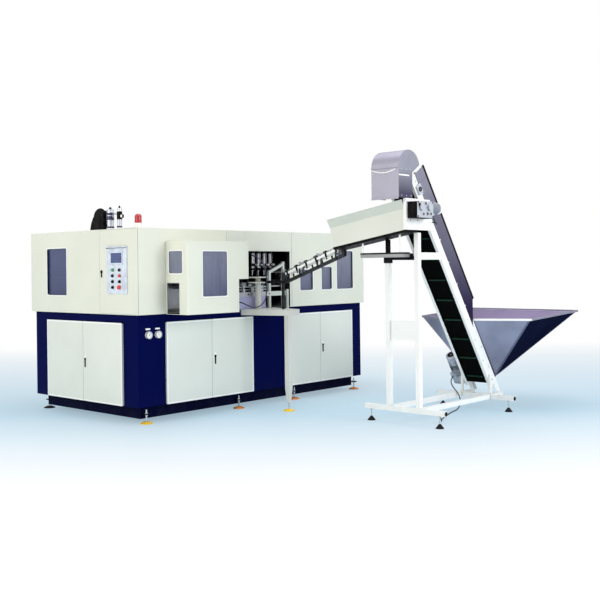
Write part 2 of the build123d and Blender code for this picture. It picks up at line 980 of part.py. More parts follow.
# Front bay: rounded roof and floor plates, and walls with their outlet, notch and windows
bay_z = (bay_bottom, bay_top)
bay_wall_z = (bay_bottom + bay_wall, bay_top - bay_wall)
notch_edge = bay_x[1] - notch_width
flat_x = (bay_x[0] + bay_corner, bay_x[1] - bay_corner)
flat_y = bay_face_y + bay_corner
outlet_y = (face_y - outlet_front, face_y - outlet_back)
bay_front = (bay_face_y, bay_face_y + bay_wall)
bay_left_wall = (bay_x[0], bay_x[0] + bay_wall)
with BuildPart() as bay_roof:
    block(bay_x, (bay_face_y, face_y), (bay_wall_z[1], bay_z[1]))
    fillet(bay_roof.edges().filter_by(Axis.Z).sort_by(Axis.Y)[:2], radius=bay_corner)
with BuildPart() as bay_floor:
    block((bay_x[0], notch_edge), (bay_face_y, face_y), (bay_z[0], bay_wall_z[0]))
    near_edges = bay_floor.edges().filter_by(Axis.Z).sort_by(Axis.Y)[:2]
    fillet(near_edges.sort_by(Axis.X)[0], radius=bay_corner)


def bay_bend(x, side, zs):
    """Makes a rounded corner of the bay's wall; `side` is -1 on the left and 1 on the right."""
    with BuildPart() as bend:
        with BuildSketch(Plane.XY.offset(zs[0])) as ring:
            with Locations((x, flat_y)):
                Circle(bay_corner)
                Circle(bay_corner - bay_wall, mode=Mode.SUBTRACT)
            with Locations((x + side * bay_corner / 2, flat_y - bay_corner / 2)):
                Rectangle(bay_corner, bay_corner, mode=Mode.INTERSECT)
        extrude(ring.sketch, amount=zs[1] - zs[0])
    return bend.part


bay_sheets = [
    bay_roof.part,
    bay_floor.part,
    bay_bend(flat_x[0], -1, bay_wall_z),
    bay_bend(flat_x[1], 1, (notch_top, bay_wall_z[1])),
    sheet((flat_x[0], notch_edge), bay_front, bay_wall_z, "bay"),
    plank((notch_edge, flat_x[1]), bay_front, (notch_top, bay_wall_z[1])),
    sheet(bay_left_wall, (flat_y, outlet_y[0]), bay_wall_z, "bay_side"),
    sheet(bay_left_wall, outlet_y, (outlet_top, bay_wall_z[1]), "bay_side"),
    plank(bay_left_wall, (outlet_y[1], face_y), bay_wall_z),
    plank((bay_x[1] - bay_wall, bay_x[1]), (flat_y, face_y), (notch_top, bay_wall_z[1])),
]
with BuildPart() as bay_trims:
    raise_trims(("bay", "bay_side"))
save_set(bay_sheets + [bay_trims.part], "bay_cover")

# Tinted panes behind the window holes
with BuildPart() as window_panes:
    for window, side, wall in windows:
        plane, width, height = window_plane(window, side)
        with BuildSketch(plane.offset(-wall)) as pane_outline:
            Rectangle(width + 2 * pane_lap, height + 2 * pane_lap)
        extrude(pane_outline.sketch, amount=-pane)
save(window_panes.part, "window_panes")

# Control door at the near corner: leaf, hinge pins, control holes and latch hole
control_x = (end_x, end_x + control_leaf)
control_z = (panel_bottom + control_clearance, roof_under - control_clearance)
console_face_x = end_x - console_thickness
console_y = (cab_y0 + console_near, cab_y0 + console_near + console_width)
console_z = (console_bottom, console_bottom + console_height)
stem_hole = button_stem / 2 + pin_play
column_ys = (cab_y0 + button_column_far, cab_y0 + button_column_near)
row_zs = [button_row_top - row * button_pitch for row in range(4)]
control_latch_y = split_y - control_latch_inset


def end_face_plane(x, y, z):
    """A plane on a near-end face that looks out of it, with local Y up."""
    return Plane(origin=(x, y, z), x_dir=(0, -1, 0), z_dir=(-1, 0, 0))


def control_holes(x, depth):
    """Drills the holes of all controls through a plate, inwards from its face."""
    for y in column_ys:
        for z in row_zs:
            with BuildSketch(end_face_plane(x, y, z)) as hole:
                Circle(stem_hole)
            extrude(hole.sketch, amount=-depth, mode=Mode.SUBTRACT)


with BuildPart() as control_door:
    block(control_x, (face_y, split_y - seam), control_z)
    low_pin = (control_pin[0], control_pin[1], control_z[0])
    high_pin = (control_pin[0], control_pin[1], control_z[1])
    rod(low_pin, (low_pin[0], low_pin[1], deck_top), control_pin_diameter / 2)
    rod(high_pin, (high_pin[0], high_pin[1], enclosure_top), control_pin_diameter / 2)
    control_holes(end_x, control_leaf)
    latch_face = end_face_plane(end_x, control_latch_y, control_latch_height)
    with BuildSketch(latch_face) as latch_hole:
        Circle(latch_spindle / 2 + running_gap)
    extrude(latch_hole.sketch, amount=-control_leaf, mode=Mode.SUBTRACT)
save(control_door.part, "control_door")

# Control door's latch: round knob with a lever, and its spindle
with BuildPart() as control_latch:
    seat = latch_face.offset(running_gap)
    with BuildSketch(seat) as knob:
        Circle(control_latch_knob / 2)
        with Locations((0, -control_latch_lever / 2)):
            SlotOverall(control_latch_lever, latch_lever_width, rotation=90)
    extrude(knob.sketch, amount=latch_lever_thickness)
    with BuildSketch(seat) as latch_axle:
        Circle(latch_spindle / 2)
    extrude(latch_axle.sketch, amount=-control_leaf - running_gap)
save(control_latch.part, "control_latch")

# Console plate: bezel round the screen, collars round the controls and a hood lip on top
screen_y = (cab_y0 + screen_near, cab_y0 + screen_near + screen_width)
screen_z = (screen_bottom, screen_bottom + screen_height)
screen_middle = (sum(screen_y) / 2, sum(screen_z) / 2)
collar_height = button_proud - button_travel - running_gap
with BuildPart() as control_console:
    block((console_face_x, end_x), console_y, console_z)
    hood_z = (console_z[1] - console_thickness, console_z[1])
    block((console_face_x - console_hood, end_x), console_y, hood_z)
    with BuildSketch(end_face_plane(console_face_x, screen_middle[0], screen_middle[1])) as bezel:
        Rectangle(screen_width + 2 * bezel_width, screen_height + 2 * bezel_width)
    extrude(bezel.sketch, amount=bezel_proud)
    screen_back = console_face_x - bezel_proud + screen_thickness
    block((console_face_x - bezel_proud, screen_back), screen_y, screen_z, mode=Mode.SUBTRACT)
    for y in column_ys:
        for z in row_zs:
            with BuildSketch(end_face_plane(console_face_x, y, z)) as collar:
                Circle(button_cap / 2)
            extrude(collar.sketch, amount=collar_height)
    control_holes(console_face_x - collar_height, collar_height + console_thickness)

# Screen, seated in the console's bezel
with BuildPart() as control_screen:
    glass_y = (screen_y[0] + running_gap, screen_y[1] - running_gap)
    glass_z = (screen_z[0] + running_gap, screen_z[1] - running_gap)
    block((screen_back - screen_thickness + running_gap, screen_back), glass_y, glass_z)
save_set((control_console.part, control_screen.part), "control_console")


def push_button(label, y, z, cap, height):
    """Makes a push button whose stem runs through the console and the door leaf."""
    with BuildPart() as button:
        with BuildSketch(end_face_plane(console_face_x - button_proud, y, z)) as top:
            Circle(cap / 2)
        extrude(top.sketch, amount=height)
        rim = button.faces().sort_by(Axis.X)[0].edges()
        fillet(rim, radius=button_fillet)
        with BuildSketch(end_face_plane(console_face_x - button_proud, y, z)) as stem:
            Circle(button_stem / 2)
        extrude(stem.sketch, amount=-button_proud - console_thickness - control_leaf)
    save(button.part, label)


def selector(label, y, z):
    """Makes a rotary selector: a round boss, a grip across it and a stem."""
    boss_x = console_face_x - collar_height - running_gap
    with BuildPart() as knob:
        with BuildSketch(end_face_plane(boss_x, y, z)) as boss:
            Circle(button_cap / 2)
        extrude(boss.sketch, amount=selector_boss)
        with BuildSketch(end_face_plane(boss_x - selector_boss, y, z)) as grip:
            SlotOverall(button_cap - selector_boss, selector_grip, rotation=90)
        extrude(grip.sketch, amount=selector_reach)
        with BuildSketch(end_face_plane(boss_x, y, z)) as stem:
            Circle(button_stem / 2)
        extrude(stem.sketch, amount=boss_x - control_x[1])
    save(knob.part, label)


# Controls, in two columns of four
push_button("green_push", column_ys[0], row_zs[0], button_cap, button_height)
push_button("black_push_1", column_ys[1], row_zs[0], button_cap, button_height)
push_button("black_push_2", column_ys[0], row_zs[1], button_cap, button_height)
push_button("red_push", column_ys[1], row_zs[1], button_cap, button_height)
selector("selector_1", column_ys[0], row_zs[2])
selector("selector_2", column_ys[1], row_zs[2])
selector("selector_3", column_ys[0], row_zs[3])
push_button("stop_push", column_ys[1], row_zs[3], stop_cap, stop_height)

# Signal beacon on the roof: base and domed lens
beacon_x = end_x + beacon_inset
beacon_y = face_y + beacon_inset
with BuildPart() as beacon:
    with BuildSketch(Plane.XY.offset(enclosure_top)) as base:
        with Locations((beacon_x, beacon_y)):
            Circle(beacon_diameter / 2)
    extrude(base.sketch, amount=beacon_base_height)
    with BuildSketch(Plane.XY.offset(enclosure_top + beacon_base_height)) as lens:
        with Locations((beacon_x, beacon_y)):
            Circle(beacon_diameter / 2 - beacon_step)
    extrude(lens.sketch, amount=beacon_lens_height)
    fillet(beacon.faces().sort_by(Axis.Z)[-1].edges(), radius=beacon_dome)


def roof_vessel(y, diameter, height):
    """Adds an upright vessel with a foot flange and a domed top."""
    x = cab_x0 + roof_fitting_x
    for width, low, high in (
        (diameter + 2 * vessel_flange, 0, vessel_flange),
        (diameter, vessel_flange, height),
        (diameter + vessel_flange, height * vessel_band, height * vessel_band + vessel_flange),
    ):
        with BuildSketch(Plane.XY.offset(enclosure_top + low)) as ring:
            with Locations((x, cab_y0 + y)):
                Circle(width / 2)
        extrude(ring.sketch, amount=high - low)


# Filter, silencer and exhaust pipe on the roof
with BuildPart() as roof_fittings:
    roof_vessel(filter_far_y, filter_diameter, filter_height)
    roof_vessel(filter_near_y, silencer_diameter, silencer_height)
    pipe_x = cab_x0 + roof_fitting_x
    pipe_near = cab_y0 + roof_pipe_y
    pipe_far = pipe_near + 2 * roof_pipe_bend
    bend_z = enclosure_top + roof_pipe_rise
    with BuildLine() as pipe_path:
        Line((pipe_x, pipe_near, enclosure_top), (pipe_x, pipe_near, bend_z))
        crown = (pipe_x, (pipe_near + pipe_far) / 2, bend_z + roof_pipe_bend)
        ThreePointArc((pipe_x, pipe_near, bend_z), crown, (pipe_x, pipe_far, bend_z))
        Line((pipe_x, pipe_far, bend_z), (pipe_x, pipe_far, enclosure_top))
    with BuildSketch(Plane.XY.offset(enclosure_top)) as pipe_section:
        with Locations((pipe_x, pipe_near)):
            Circle(roof_pipe_diameter / 2)
    sweep(pipe_section.sketch, path=pipe_path.line)
save_set((beacon.part, roof_fittings.part), "roof_fittings")

# Two round gauges on the cabinet's front
with BuildPart() as pressure_gauges:
    for place in range(2):
        gauge_x = cab_x0 + gauge_near_x + place * gauge_pitch
        gauge_plane = face_plane((gauge_x, cab_y0, gauge_height), (0, -1, 0))
        with BuildSketch(gauge_plane) as gauge:
            Circle(gauge_diameter / 2)
        extrude(gauge.sketch, amount=gauge_depth)
        with BuildSketch(gauge_plane.offset(gauge_depth)) as dial:
            Circle(gauge_diameter / 2 - gauge_bezel)
        extrude(dial.sketch, amount=-gauge_dial_depth, mode=Mode.SUBTRACT)
save(pressure_gauges.part, "pressure_gauges")

# Infeed table: tapering tray, leg with a drawn-in foot, and the star wheel's column
table_bottom = table_top - table_skirt
tray_left = cab_x0 + table_left
tray_right = tray_left + table_width
tray_end_left = cab_x0 + table_end_left
tray_end_right = tray_end_left + table_end_width
tray_end_y = cab_y0 - table_reach
star_place = (cab_x0 + star_x, cab_y0 - star_reach)
with BuildPart() as infeed_table:
    with BuildSketch(Plane.XY.offset(table_bottom)) as tray_outline:
        with BuildLine():
            Polyline(
                (tray_left, cab_y0),
                (tray_end_left, tray_end_y),
                (tray_end_right, tray_end_y),
                (tray_right, cab_y0),
                close=True,
            )
        make_face()
    extrude(tray_outline.sketch, amount=table_skirt)
    offset(amount=-table_wall, openings=infeed_table.faces().sort_by(Axis.Z)[0])
    leg_square = (leg_x - table_leg / 2, leg_x + table_leg / 2)
    leg_square_y = (leg_y - table_leg / 2, leg_y + table_leg / 2)
    taper_top = leg_end + leg_taper
    block(leg_square, leg_square_y, (taper_top, table_top))
    with BuildSketch(Plane.XY.offset(leg_end)) as leg_low:
        with Locations((leg_x, leg_y)):
            Rectangle(leg_foot, leg_foot)
    with BuildSketch(Plane.XY.offset(taper_top)) as leg_high:
        with Locations((leg_x, leg_y)):
            Rectangle(table_leg, table_leg)
    loft([leg_low.sketch.faces()[0], leg_high.sketch.faces()[0]])
    column_top = star_level - running_gap
    star_shaft_depth = (column_top - table_top) * star_shaft_share
    column_foot = (star_place[0], star_place[1], table_top)
    rod(column_foot, (star_place[0], star_place[1], column_top), column_diameter / 2)
    shaft_seat = (star_place[0], star_place[1], column_top - star_shaft_depth - running_gap)
    column_head = (star_place[0], star_place[1], column_top)
    rod(shaft_seat, column_head, star_shaft / 2 + pin_play, mode=Mode.SUBTRACT)
save(infeed_table.part, "infeed_table")

# Star wheel: two pocketed plates on a hub, with a shaft down into the column
with BuildPart() as star_wheel:
    for level in (star_level, star_level + star_spacing):
        with BuildSketch(Plane.XY.offset(level)) as plate:
            with Locations(star_place):
                Circle(star_radius)
                with PolarLocations(star_radius + pocket_set_out, star_pockets):
                    Circle(pocket_radius, mode=Mode.SUBTRACT)
        extrude(plate.sketch, amount=star_thickness)
    hub_top = star_level + star_spacing + star_thickness
    star_low = (star_place[0], star_place[1], star_level)
    rod(star_low, (star_place[0], star_place[1], hub_top), star_hub / 2)
    shaft_end = (star_place[0], star_place[1], column_top - star_shaft_depth)
    rod(shaft_end, (star_place[0], star_place[1], star_level), star_shaft / 2)
save(star_wheel.part, "star_wheel")

# Infeed frame: bed beam, guard sheet, uprights with their tie, light post and hose gland
beam_x = cab_x0 + bed_beam_left
guard_x = (cab_x0 + guard_left, cab_x0 + guard_left + guard_length)
beam_y = (cab_y0, cab_y0 + bed_beam_depth)
with BuildPart() as infeed_frame:
    beam_z = (bed_beam_bottom, bed_beam_bottom + bed_beam_height)
    block((beam_x, beam_x + bed_beam_length), beam_y, beam_z)
    sheet_y = (cab_y0, cab_y0 + guard_sheet)
    block(guard_x, sheet_y, (deck_top, beam_z[0]))
    uprights = ((upright_1, upright_1_height), (upright_2, upright_2_height))
    for x, height in uprights:
        upright_x = (cab_x0 + x - infeed_bar / 2, cab_x0 + x + infeed_bar / 2)
        block(upright_x, (cab_y0, cab_y0 + infeed_bar), (deck_top, deck_top + height))
    tie_y = cab_y0 + infeed_bar / 2
    tie_low = (cab_x0 + upright_1, tie_y, deck_top + upright_1_height - infeed_bar / 2)
    tie_high = (cab_x0 + upright_2, tie_y, deck_top + upright_2_height - infeed_bar)
    bar(tie_low, tie_high, infeed_bar, infeed_bar)
    light_x = opening_x[1] - 2 * jamb_gap
    light_span = (light_post_bottom, light_post_bottom + light_post_height)
    block((light_x - light_post, light_x), (cab_y0 - light_post, cab_y0), light_span)
    hose_gland = (cab_x0 + hose_start_x, cab_y0, hose_start_z)
    hose_start = (hose_gland[0], cab_y0 - gland_length, hose_gland[2])
    rod(hose_gland, hose_start, gland_diameter / 2)

# Transfer gantry: a beam on two arms from the posts, with four cylinders hanging from it
gantry_z = (gantry_bottom, gantry_bottom + gantry_tube)
gantry_span = (cab_y0 + gantry_y, cab_y0 + gantry_y + gantry_tube)
with BuildPart() as transfer_gantry:
    gantry_x = (opening_x[0] - upper_post, opening_x[1] + upper_post)
    block(gantry_x, gantry_span, gantry_z)
    for x in (gantry_x[0], opening_x[1]):
        block((x, x + upper_post), (post_y[1], gantry_span[0]), gantry_z)
    cylinder_y = sum(gantry_span) / 2
    for place in range(cylinder_count):
        x = cab_x0 + cylinder_first + place * cylinder_pitch
        hung = gantry_bottom - cylinder_length
        rod((x, cylinder_y, gantry_bottom), (x, cylinder_y, hung), cylinder_diameter / 2)
        rod((x, cylinder_y, hung), (x, cylinder_y, hung - piston_length), piston_rod / 2)
    gland_base = (cab_x0 + hose_end_x, gantry_span[0], hose_end_z)
    hose_end = (gland_base[0], gantry_span[0] - gland_length, gland_base[2])
    rod(gland_base, hose_end, gland_diameter / 2)
save_set((infeed_frame.part, transfer_gantry.part), "infeed_frame")

# Chain track: an oval plate on legs with its mandrels, and the bearing blocks of its wheels
wheel_places = [
    (cab_x0 + track_wheel_x, cab_y0 + track_y),
    (cab_x0 + track_wheel_x + track_length, cab_y0 + track_y),
]
track_middle = ((wheel_places[0][0] + wheel_places[1][0]) / 2, cab_y0 + track_y)
track_top = track_level + track_thickness
bearing_top = deck_top + (track_level - deck_top) * wheel_bearing_share


def oval_points(count):
    """Evenly spaced places round the track's middle line."""
    bend = math.pi * track_radius
    lap = 2 * (track_length + bend)
    places = []
    for step in range(count):
        run = lap * (step + 0.5) / count
        side = 1
        if run >= lap / 2:
            run -= lap / 2
            side = -1
        x, y = run - track_length / 2, -track_radius
        if run > track_length:
            angle = (run - track_length) / track_radius - math.pi / 2
            x = track_length / 2 + track_radius * math.cos(angle)
            y = track_radius * math.sin(angle)
        places.append((track_middle[0] + side * x, track_middle[1] + side * y))
    return places


track_straight = (wheel_places[0][0], wheel_places[1][0])
track_pieces = []
for y in (track_middle[1] - track_radius, track_middle[1] + track_radius):
    half_width_y = (y - track_width / 2, y + track_width / 2)
    track_pieces.append(plank(track_straight, half_width_y, (track_level, track_top)))
    for x in (wheel_places[0][0], track_middle[0], wheel_places[1][0]):
        half = track_leg / 2
        leg_span = (deck_top, track_level)
        track_pieces.append(plank((x - half, x + half), (y - half, y + half), leg_span))
for (x, y), side in zip(wheel_places, (-1, 1)):
    with BuildPart() as track_bend:
        with BuildSketch(Plane.XY.offset(track_level)) as half_ring:
            with Locations((x, y)):
                Circle(track_radius + track_width / 2)
                Circle(track_radius - track_width / 2, mode=Mode.SUBTRACT)
            with Locations((x + side * track_radius, y)):
                Rectangle(2 * track_radius, 4 * track_radius, mode=Mode.INTERSECT)
        extrude(half_ring.sketch, amount=track_thickness)
    track_pieces.append(track_bend.part)
with BuildPart() as track_mandrels:
    with BuildSketch(Plane.XY.offset(track_top)) as mandrels:
        with Locations(*oval_points(mandrel_count)):
            Circle(mandrel_diameter / 2)
    extrude(mandrels.sketch, amount=mandrel_height)
with BuildPart() as wheel_bearings:
    for x, y in wheel_places:
        half = wheel_bearing / 2
        block((x - half, x + half), (y - half, y + half), (deck_top, bearing_top))
        bore = wheel_shaft / 2 + pin_play
        rod((x, y, deck_top), (x, y, bearing_top), bore, mode=Mode.SUBTRACT)
save_set(track_pieces + [track_mandrels.part, wheel_bearings.part], "chain_track")

# The two wheels of the chain track, each on an upright shaft
for label, (x, y) in zip(("chain_wheel_1", "chain_wheel_2"), wheel_places):
    with BuildPart() as chain_wheel:
        wheel_low = track_top + wheel_gap
        rod((x, y, wheel_low), (x, y, wheel_low + wheel_thickness), wheel_radius)
        rod((x, y, wheel_low), (x, y, wheel_low + 2 * wheel_thickness), wheel_hub / 2)
        rod((x, y, deck_top + running_gap), (x, y, wheel_low), wheel_shaft / 2)
    save(chain_wheel.part, label)

# Heating oven inside the track: core, end plates, lamp tubes and two pedestals
oven_x = (cab_x0 + oven_start, cab_x0 + oven_start + oven_length)
oven_y = (cab_y0 + track_y - oven_width / 2, cab_y0 + track_y + oven_width / 2)
oven_z = (oven_bottom, oven_bottom + oven_height)
end_y = (oven_y[0] - oven_end_reach, oven_y[1] + oven_end_reach)
oven_pieces = [
    plank(oven_x, oven_y, oven_z),
    plank((oven_x[0] - oven_end_plate, oven_x[0]), end_y, oven_z),
    plank((oven_x[1], oven_x[1] + oven_end_plate), end_y, oven_z),
]
for x in (oven_x[0] + wheel_bearing, oven_x[1] - wheel_bearing):
    half = track_leg / 2
    pedestal_y = (cab_y0 + track_y - half, cab_y0 + track_y + half)
    oven_pieces.append(plank((x - half, x + half), pedestal_y, (deck_top, oven_bottom)))
with BuildPart() as oven_lamps:
    lamp_out = lamp_gap + lamp_diameter / 2
    lamp_low = (sum(oven_z) - (lamp_rows - 1) * lamp_pitch) / 2
    for y in (oven_y[0] - lamp_out, oven_y[1] + lamp_out):
        for row in range(lamp_rows):
            z = lamp_low + row * lamp_pitch
            rod((oven_x[0], y, z), (oven_x[1], y, z), lamp_diameter / 2)
save_set(oven_pieces + [oven_lamps.part], "heating_oven")

# Mould station: base, end plates, tie bars, blow beam with nozzles and guide columns
station_x = cab_x0 + mould_x
station_y = cab_y0 + mould_y
base_top = deck_top + station_base
mould_middle = base_top + station_height / 2 + station_rise
mould_z = (mould_middle - mould_height / 2, mould_middle + mould_height / 2)
plate_half = station_plate_width / 2
inner_face = station_half_span - station_plate
beam_bottom = mould_z[1] + blow_beam_gap
beam_top = beam_bottom + blow_beam_height
post_out = platen_length / 2 + blow_post_gap
cavity_xs = [
    station_x + (place - (cavity_count - 1) / 2) * cavity_pitch for place in range(cavity_count)
]
carriage_z = (beam_top + stretch_rise, beam_top + stretch_rise + stretch_plate)
with BuildPart() as mould_frame:
    base_x = (station_x - station_length / 2, station_x + station_length / 2)
    base_y = (station_y - station_half_span, station_y + station_half_span)
    block(base_x, base_y, (deck_top, base_top))
    for side in (-1, 1):
        faces = sorted((station_y + side * inner_face, station_y + side * station_half_span))
        plate_x = (station_x - plate_half, station_x + plate_half)
        block(plate_x, faces, (base_top, base_top + station_height))
        rod_y = (station_y + side * inner_face, station_y + side * station_half_span)
        rod_low = (station_x, rod_y[0], mould_middle)
        rod_high = (station_x, rod_y[1], mould_middle)
        rod(rod_low, rod_high, clamp_rod / 2 + running_gap, mode=Mode.SUBTRACT)
    for x in (station_x - tie_bar_spread, station_x + tie_bar_spread):
        for z in (mould_middle - tie_bar_rise, mould_middle + tie_bar_rise):
            rod((x, base_y[0], z), (x, base_y[1], z), tie_bar / 2)
    for side in (-1, 1):
        post_x = sorted((station_x + side * post_out, station_x + side * (post_out + blow_post)))
        post_half = blow_post / 2
        block(post_x, (station_y - post_half, station_y + post_half), (base_top, beam_top))
    beam_half = post_out + blow_post
    beam_width = (station_y - blow_beam_width / 2, station_y + blow_beam_width / 2)
    block((station_x - beam_half, station_x + beam_half), beam_width, (beam_bottom, beam_top))
    for x in cavity_xs:
        nozzle_tip = (x, station_y, beam_bottom - nozzle_height)
        rod(nozzle_tip, (x, station_y, beam_bottom), nozzle_diameter / 2)
    for x in cavity_xs:
        nozzle_tip = (x, station_y, beam_bottom - nozzle_height)
        bore = stretch_rod / 2 + running_gap
        rod(nozzle_tip, (x, station_y, beam_top), bore, mode=Mode.SUBTRACT)
    for side in (-1, 1):
        x = station_x + side * stretch_spread
        column_end = carriage_z[1] + stretch_plate
        rod((x, station_y, beam_top), (x, station_y, column_end), stretch_column / 2)
save(mould_frame.part, "mould_frame")


def mould_half(label, side):
    """Makes one mould half with its platen and clamp rod, standing open."""
    face = station_y + side * mould_open
    back = face + side * mould_thickness
    rear = back + side * platen_thickness
    with BuildPart() as half:
        block_x = (station_x - mould_length / 2, station_x + mould_length / 2)
        block(block_x, sorted((face, back)), mould_z)
        platen_x = (station_x - platen_length / 2, station_x + platen_length / 2)
        platen_z = (mould_middle - platen_height / 2, mould_middle + platen_height / 2)
        block(platen_x, sorted((back, rear)), platen_z)
        rod_end = (station_x, rear + side * clamp_rod_length, mould_middle)
        rod((station_x, rear, mould_middle), rod_end, clamp_rod / 2)
        for x in (station_x - tie_bar_spread, station_x + tie_bar_spread):
            for z in (mould_middle - tie_bar_rise, mould_middle + tie_bar_rise):
                hole = tie_bar / 2 + running_gap
                rod((x, back, z), (x, rear, z), hole, mode=Mode.SUBTRACT)
        bottle_low = mould_z[0] + (mould_height - bottle_height) / 2
        for x in cavity_xs:
            low = (x, face, bottle_low)
            high = (x, face, bottle_low + bottle_height)
            rod(low, high, bottle_diameter / 2, mode=Mode.SUBTRACT)
            rod(high, (x, face, mould_z[1]), neck_diameter / 2, mode=Mode.SUBTRACT)
    save(half.part, label)


mould_half("mould_near", -1)
mould_half("mould_far", 1)

# Stretch carriage: a plate on the guide columns with one rod over each cavity
with BuildPart() as stretch_carriage:
    reach = stretch_spread + blow_post
    carriage_y = (station_y - stretch_plate_width / 2, station_y + stretch_plate_width / 2)
    block((station_x - reach, station_x + reach), carriage_y, carriage_z)
    for x in (station_x - stretch_spread, station_x + stretch_spread):
        low = (x, station_y, carriage_z[0])
        high = (x, station_y, carriage_z[1])
        rod(low, high, stretch_column / 2 + running_gap, mode=Mode.SUBTRACT)
    for x in cavity_xs:
        tip = (x, station_y, beam_bottom)
        rod(tip, (x, station_y, carriage_z[0]), stretch_rod / 2)
save(stretch_carriage.part, "stretch_carriage")

# Main drive on the cabinet floor: skid, gearcase and motor
skid_x = (cab_x0 + drive_x, cab_x0 + drive_x + skid_length)
skid_y = (cab_y0 + drive_y, cab_y0 + drive_y + skid_width)
skid_z = (floor_span[1], floor_span[1] + skid_height)
with BuildPart() as cabinet_drive:
    block(skid_x, skid_y, skid_z)
    case_z = (skid_z[1], skid_z[1] + gearcase_height)
    block((skid_x[0], skid_x[0] + gearcase_length), skid_y, case_z)
    motor_z = (case_z[0] + case_z[1]) / 2
    motor_y = sum(skid_y) / 2
    motor_start = (skid_x[0] + gearcase_length, motor_y, motor_z)
    motor_stop = (motor_start[0] + drive_motor_length, motor_y, motor_z)
    rod(motor_start, motor_stop, drive_motor_diameter / 2)
    cradle_x = (motor_start[0] + skid_height, motor_stop[0] - skid_height)
    cradle_y = (motor_y - skid_height, motor_y + skid_height)
    block(cradle_x, cradle_y, (skid_z[1], motor_z))

# Switchgear plate in the lower cabinet, with two rows of blocks
plate_x = (cab_x0 + switch_x, cab_x0 + switch_x + switch_plate_width)
plate_y = (cab_y0 + switch_y, cab_y0 + switch_y + switch_plate_thickness)
plate_z = (floor_span[1] + switch_leg, floor_span[1] + switch_leg + switch_plate_height)
with BuildPart() as switch_plate:
    block(plate_x, plate_y, plate_z)
    for x in (plate_x[0], plate_x[1] - switch_leg):
        leg_depth = (plate_y[0], plate_y[0] + switch_leg)
        block((x, x + switch_leg), leg_depth, (floor_span[1], plate_z[1]))
    rail_inset = (switch_plate_width - switch_rail_length) / 2
    rail_x = (plate_x[0] + rail_inset, plate_x[1] - rail_inset)
    block_y = (plate_y[0] - switch_block_depth, plate_y[0])
    for share in (1, 3):
        level = plate_z[0] + share * switch_plate_height / 4
        block_z = (level - switch_block_depth, level + switch_block_depth)
        block(rail_x, block_y, block_z)
save_set((cabinet_drive.part, switch_plate.part), "cabinet_equipment")

# Elevator base: two cross bars, two long bars that run on under the conveyor's foot
mid_y = cab_y0 + tower_y
half_tube = tower_tube / 2
tower_xs = (cab_x0 + tower_x, cab_x0 + tower_x + tower_length)
post_ys = (mid_y - tower_post_half, mid_y + tower_post_half)
base_z = (tower_bar_level, tower_bar_level + tower_tube)
cross_y = (mid_y - tower_cross_bar / 2, mid_y + tower_cross_bar / 2)
feet_places = [
    (x, y) for x in tower_xs for y in (cross_y[0] + tower_foot_inset, cross_y[1] - tower_foot_inset)
]


def tower_square(x, y, span, width):
    """Adds an upright square tube of the elevator frame."""
    half = width / 2
    block((x - half, x + half), (y - half, y + half), span)


base_tubes = []
for x in tower_xs:
    base_tubes.append(plank((x - half_tube, x + half_tube), cross_y, base_z))
long_x = (tower_xs[0] + half_tube, tower_xs[1] - half_tube)
overrun_x = (tower_xs[1] + half_tube, tower_xs[1] + half_tube + base_overrun)
for y in post_ys:
    for run_x in (long_x, overrun_x):
        base_tubes.append(plank(run_x, (y - half_tube, y + half_tube), base_z))
with BuildPart() as base_gland:
    cable_gland = (tower_xs[0] + cable_gland_x, post_ys[0] - half_tube, sum(base_z) / 2)
    cable_end = (cable_gland[0], cable_gland[1] - gland_length, cable_gland[2])
    rod(cable_gland, cable_end, gland_diameter / 2)

# Elevator feet: rubber cones with studs and nuts
with BuildPart() as elevator_feet:
    for x, y in feet_places:
        with Locations((x, y, tower_foot_height / 2)):
            Cone(tower_foot_diameter / 2, tower_foot_neck / 2, tower_foot_height)
        rod((x, y, tower_foot_height), (x, y, base_z[0]), tower_stud / 2)
        with BuildSketch(Plane.XY.offset(base_z[0] - nut_height)) as nut:
            with Locations((x, y)):
                RegularPolygon(nut_across / math.sqrt(3), 6)
        extrude(nut.sketch, amount=nut_height)
save_set(base_tubes + [base_gland.part, elevator_feet.part], "elevator_base")

# Lines of the orienter, needed by what carries it
tilt = math.radians(orienter_slope)
trough_x = cab_x0 + orienter_x
high_y = mid_y - conveyor_width / 2
trough_along = (0, math.cos(tilt), -math.sin(tilt))
trough_up = (0, math.sin(tilt), math.cos(tilt))


def trough_point(x, along, up):
    """A place in the orienter: across, down its length and off its floor."""
    y = high_y + along * trough_along[1] + up * trough_up[1]
    z = orienter_high_z + along * trough_along[2] + up * trough_up[2]
    return (trough_x + x, y, z)


def beam_underside(y):
    """The height of the orienter beam's underside over a place."""
    drop = orienter_beam / math.cos(tilt)
    return orienter_high_z - drop - (y - high_y) * math.tan(tilt)


# Elevator frame: two posts, the plate between them, arms to the conveyor and the catch tray
inner_y = post_ys[1]
inner_top = beam_underside(inner_y + tower_inner_tube / 2)
with BuildPart() as elevator_frame:
    outer_top = beam_underside(post_ys[0] + half_tube)
    tower_square(tower_xs[0], post_ys[0], (base_z[1], outer_top), tower_tube)
    tower_square(tower_xs[0], post_ys[1], (base_z[1], tower_post_top), tower_tube)
    plate_span = (tower_plate_bottom, tower_plate_bottom + tower_plate_height)
    plate_half_thickness = tower_plate_thickness / 2
    tie_plate_x = (tower_xs[0] - plate_half_thickness, tower_xs[0] + plate_half_thickness)
    block(tie_plate_x, post_ys, plate_span)
    arm_z = (tower_beam_bottom, tower_beam_bottom + tower_beam_height)
    arm_end = tower_xs[0] + tower_beam_length
    near_arm = (mid_y - conveyor_width / 2 - tower_beam_width, mid_y - conveyor_width / 2)
    far_arm = (mid_y + conveyor_width / 2, mid_y + conveyor_width / 2 + tower_beam_width)
    block((tower_xs[0] + half_tube, arm_end), near_arm, arm_z)
    block((tower_xs[0] + tower_clamp / 2, arm_end), far_arm, arm_z)

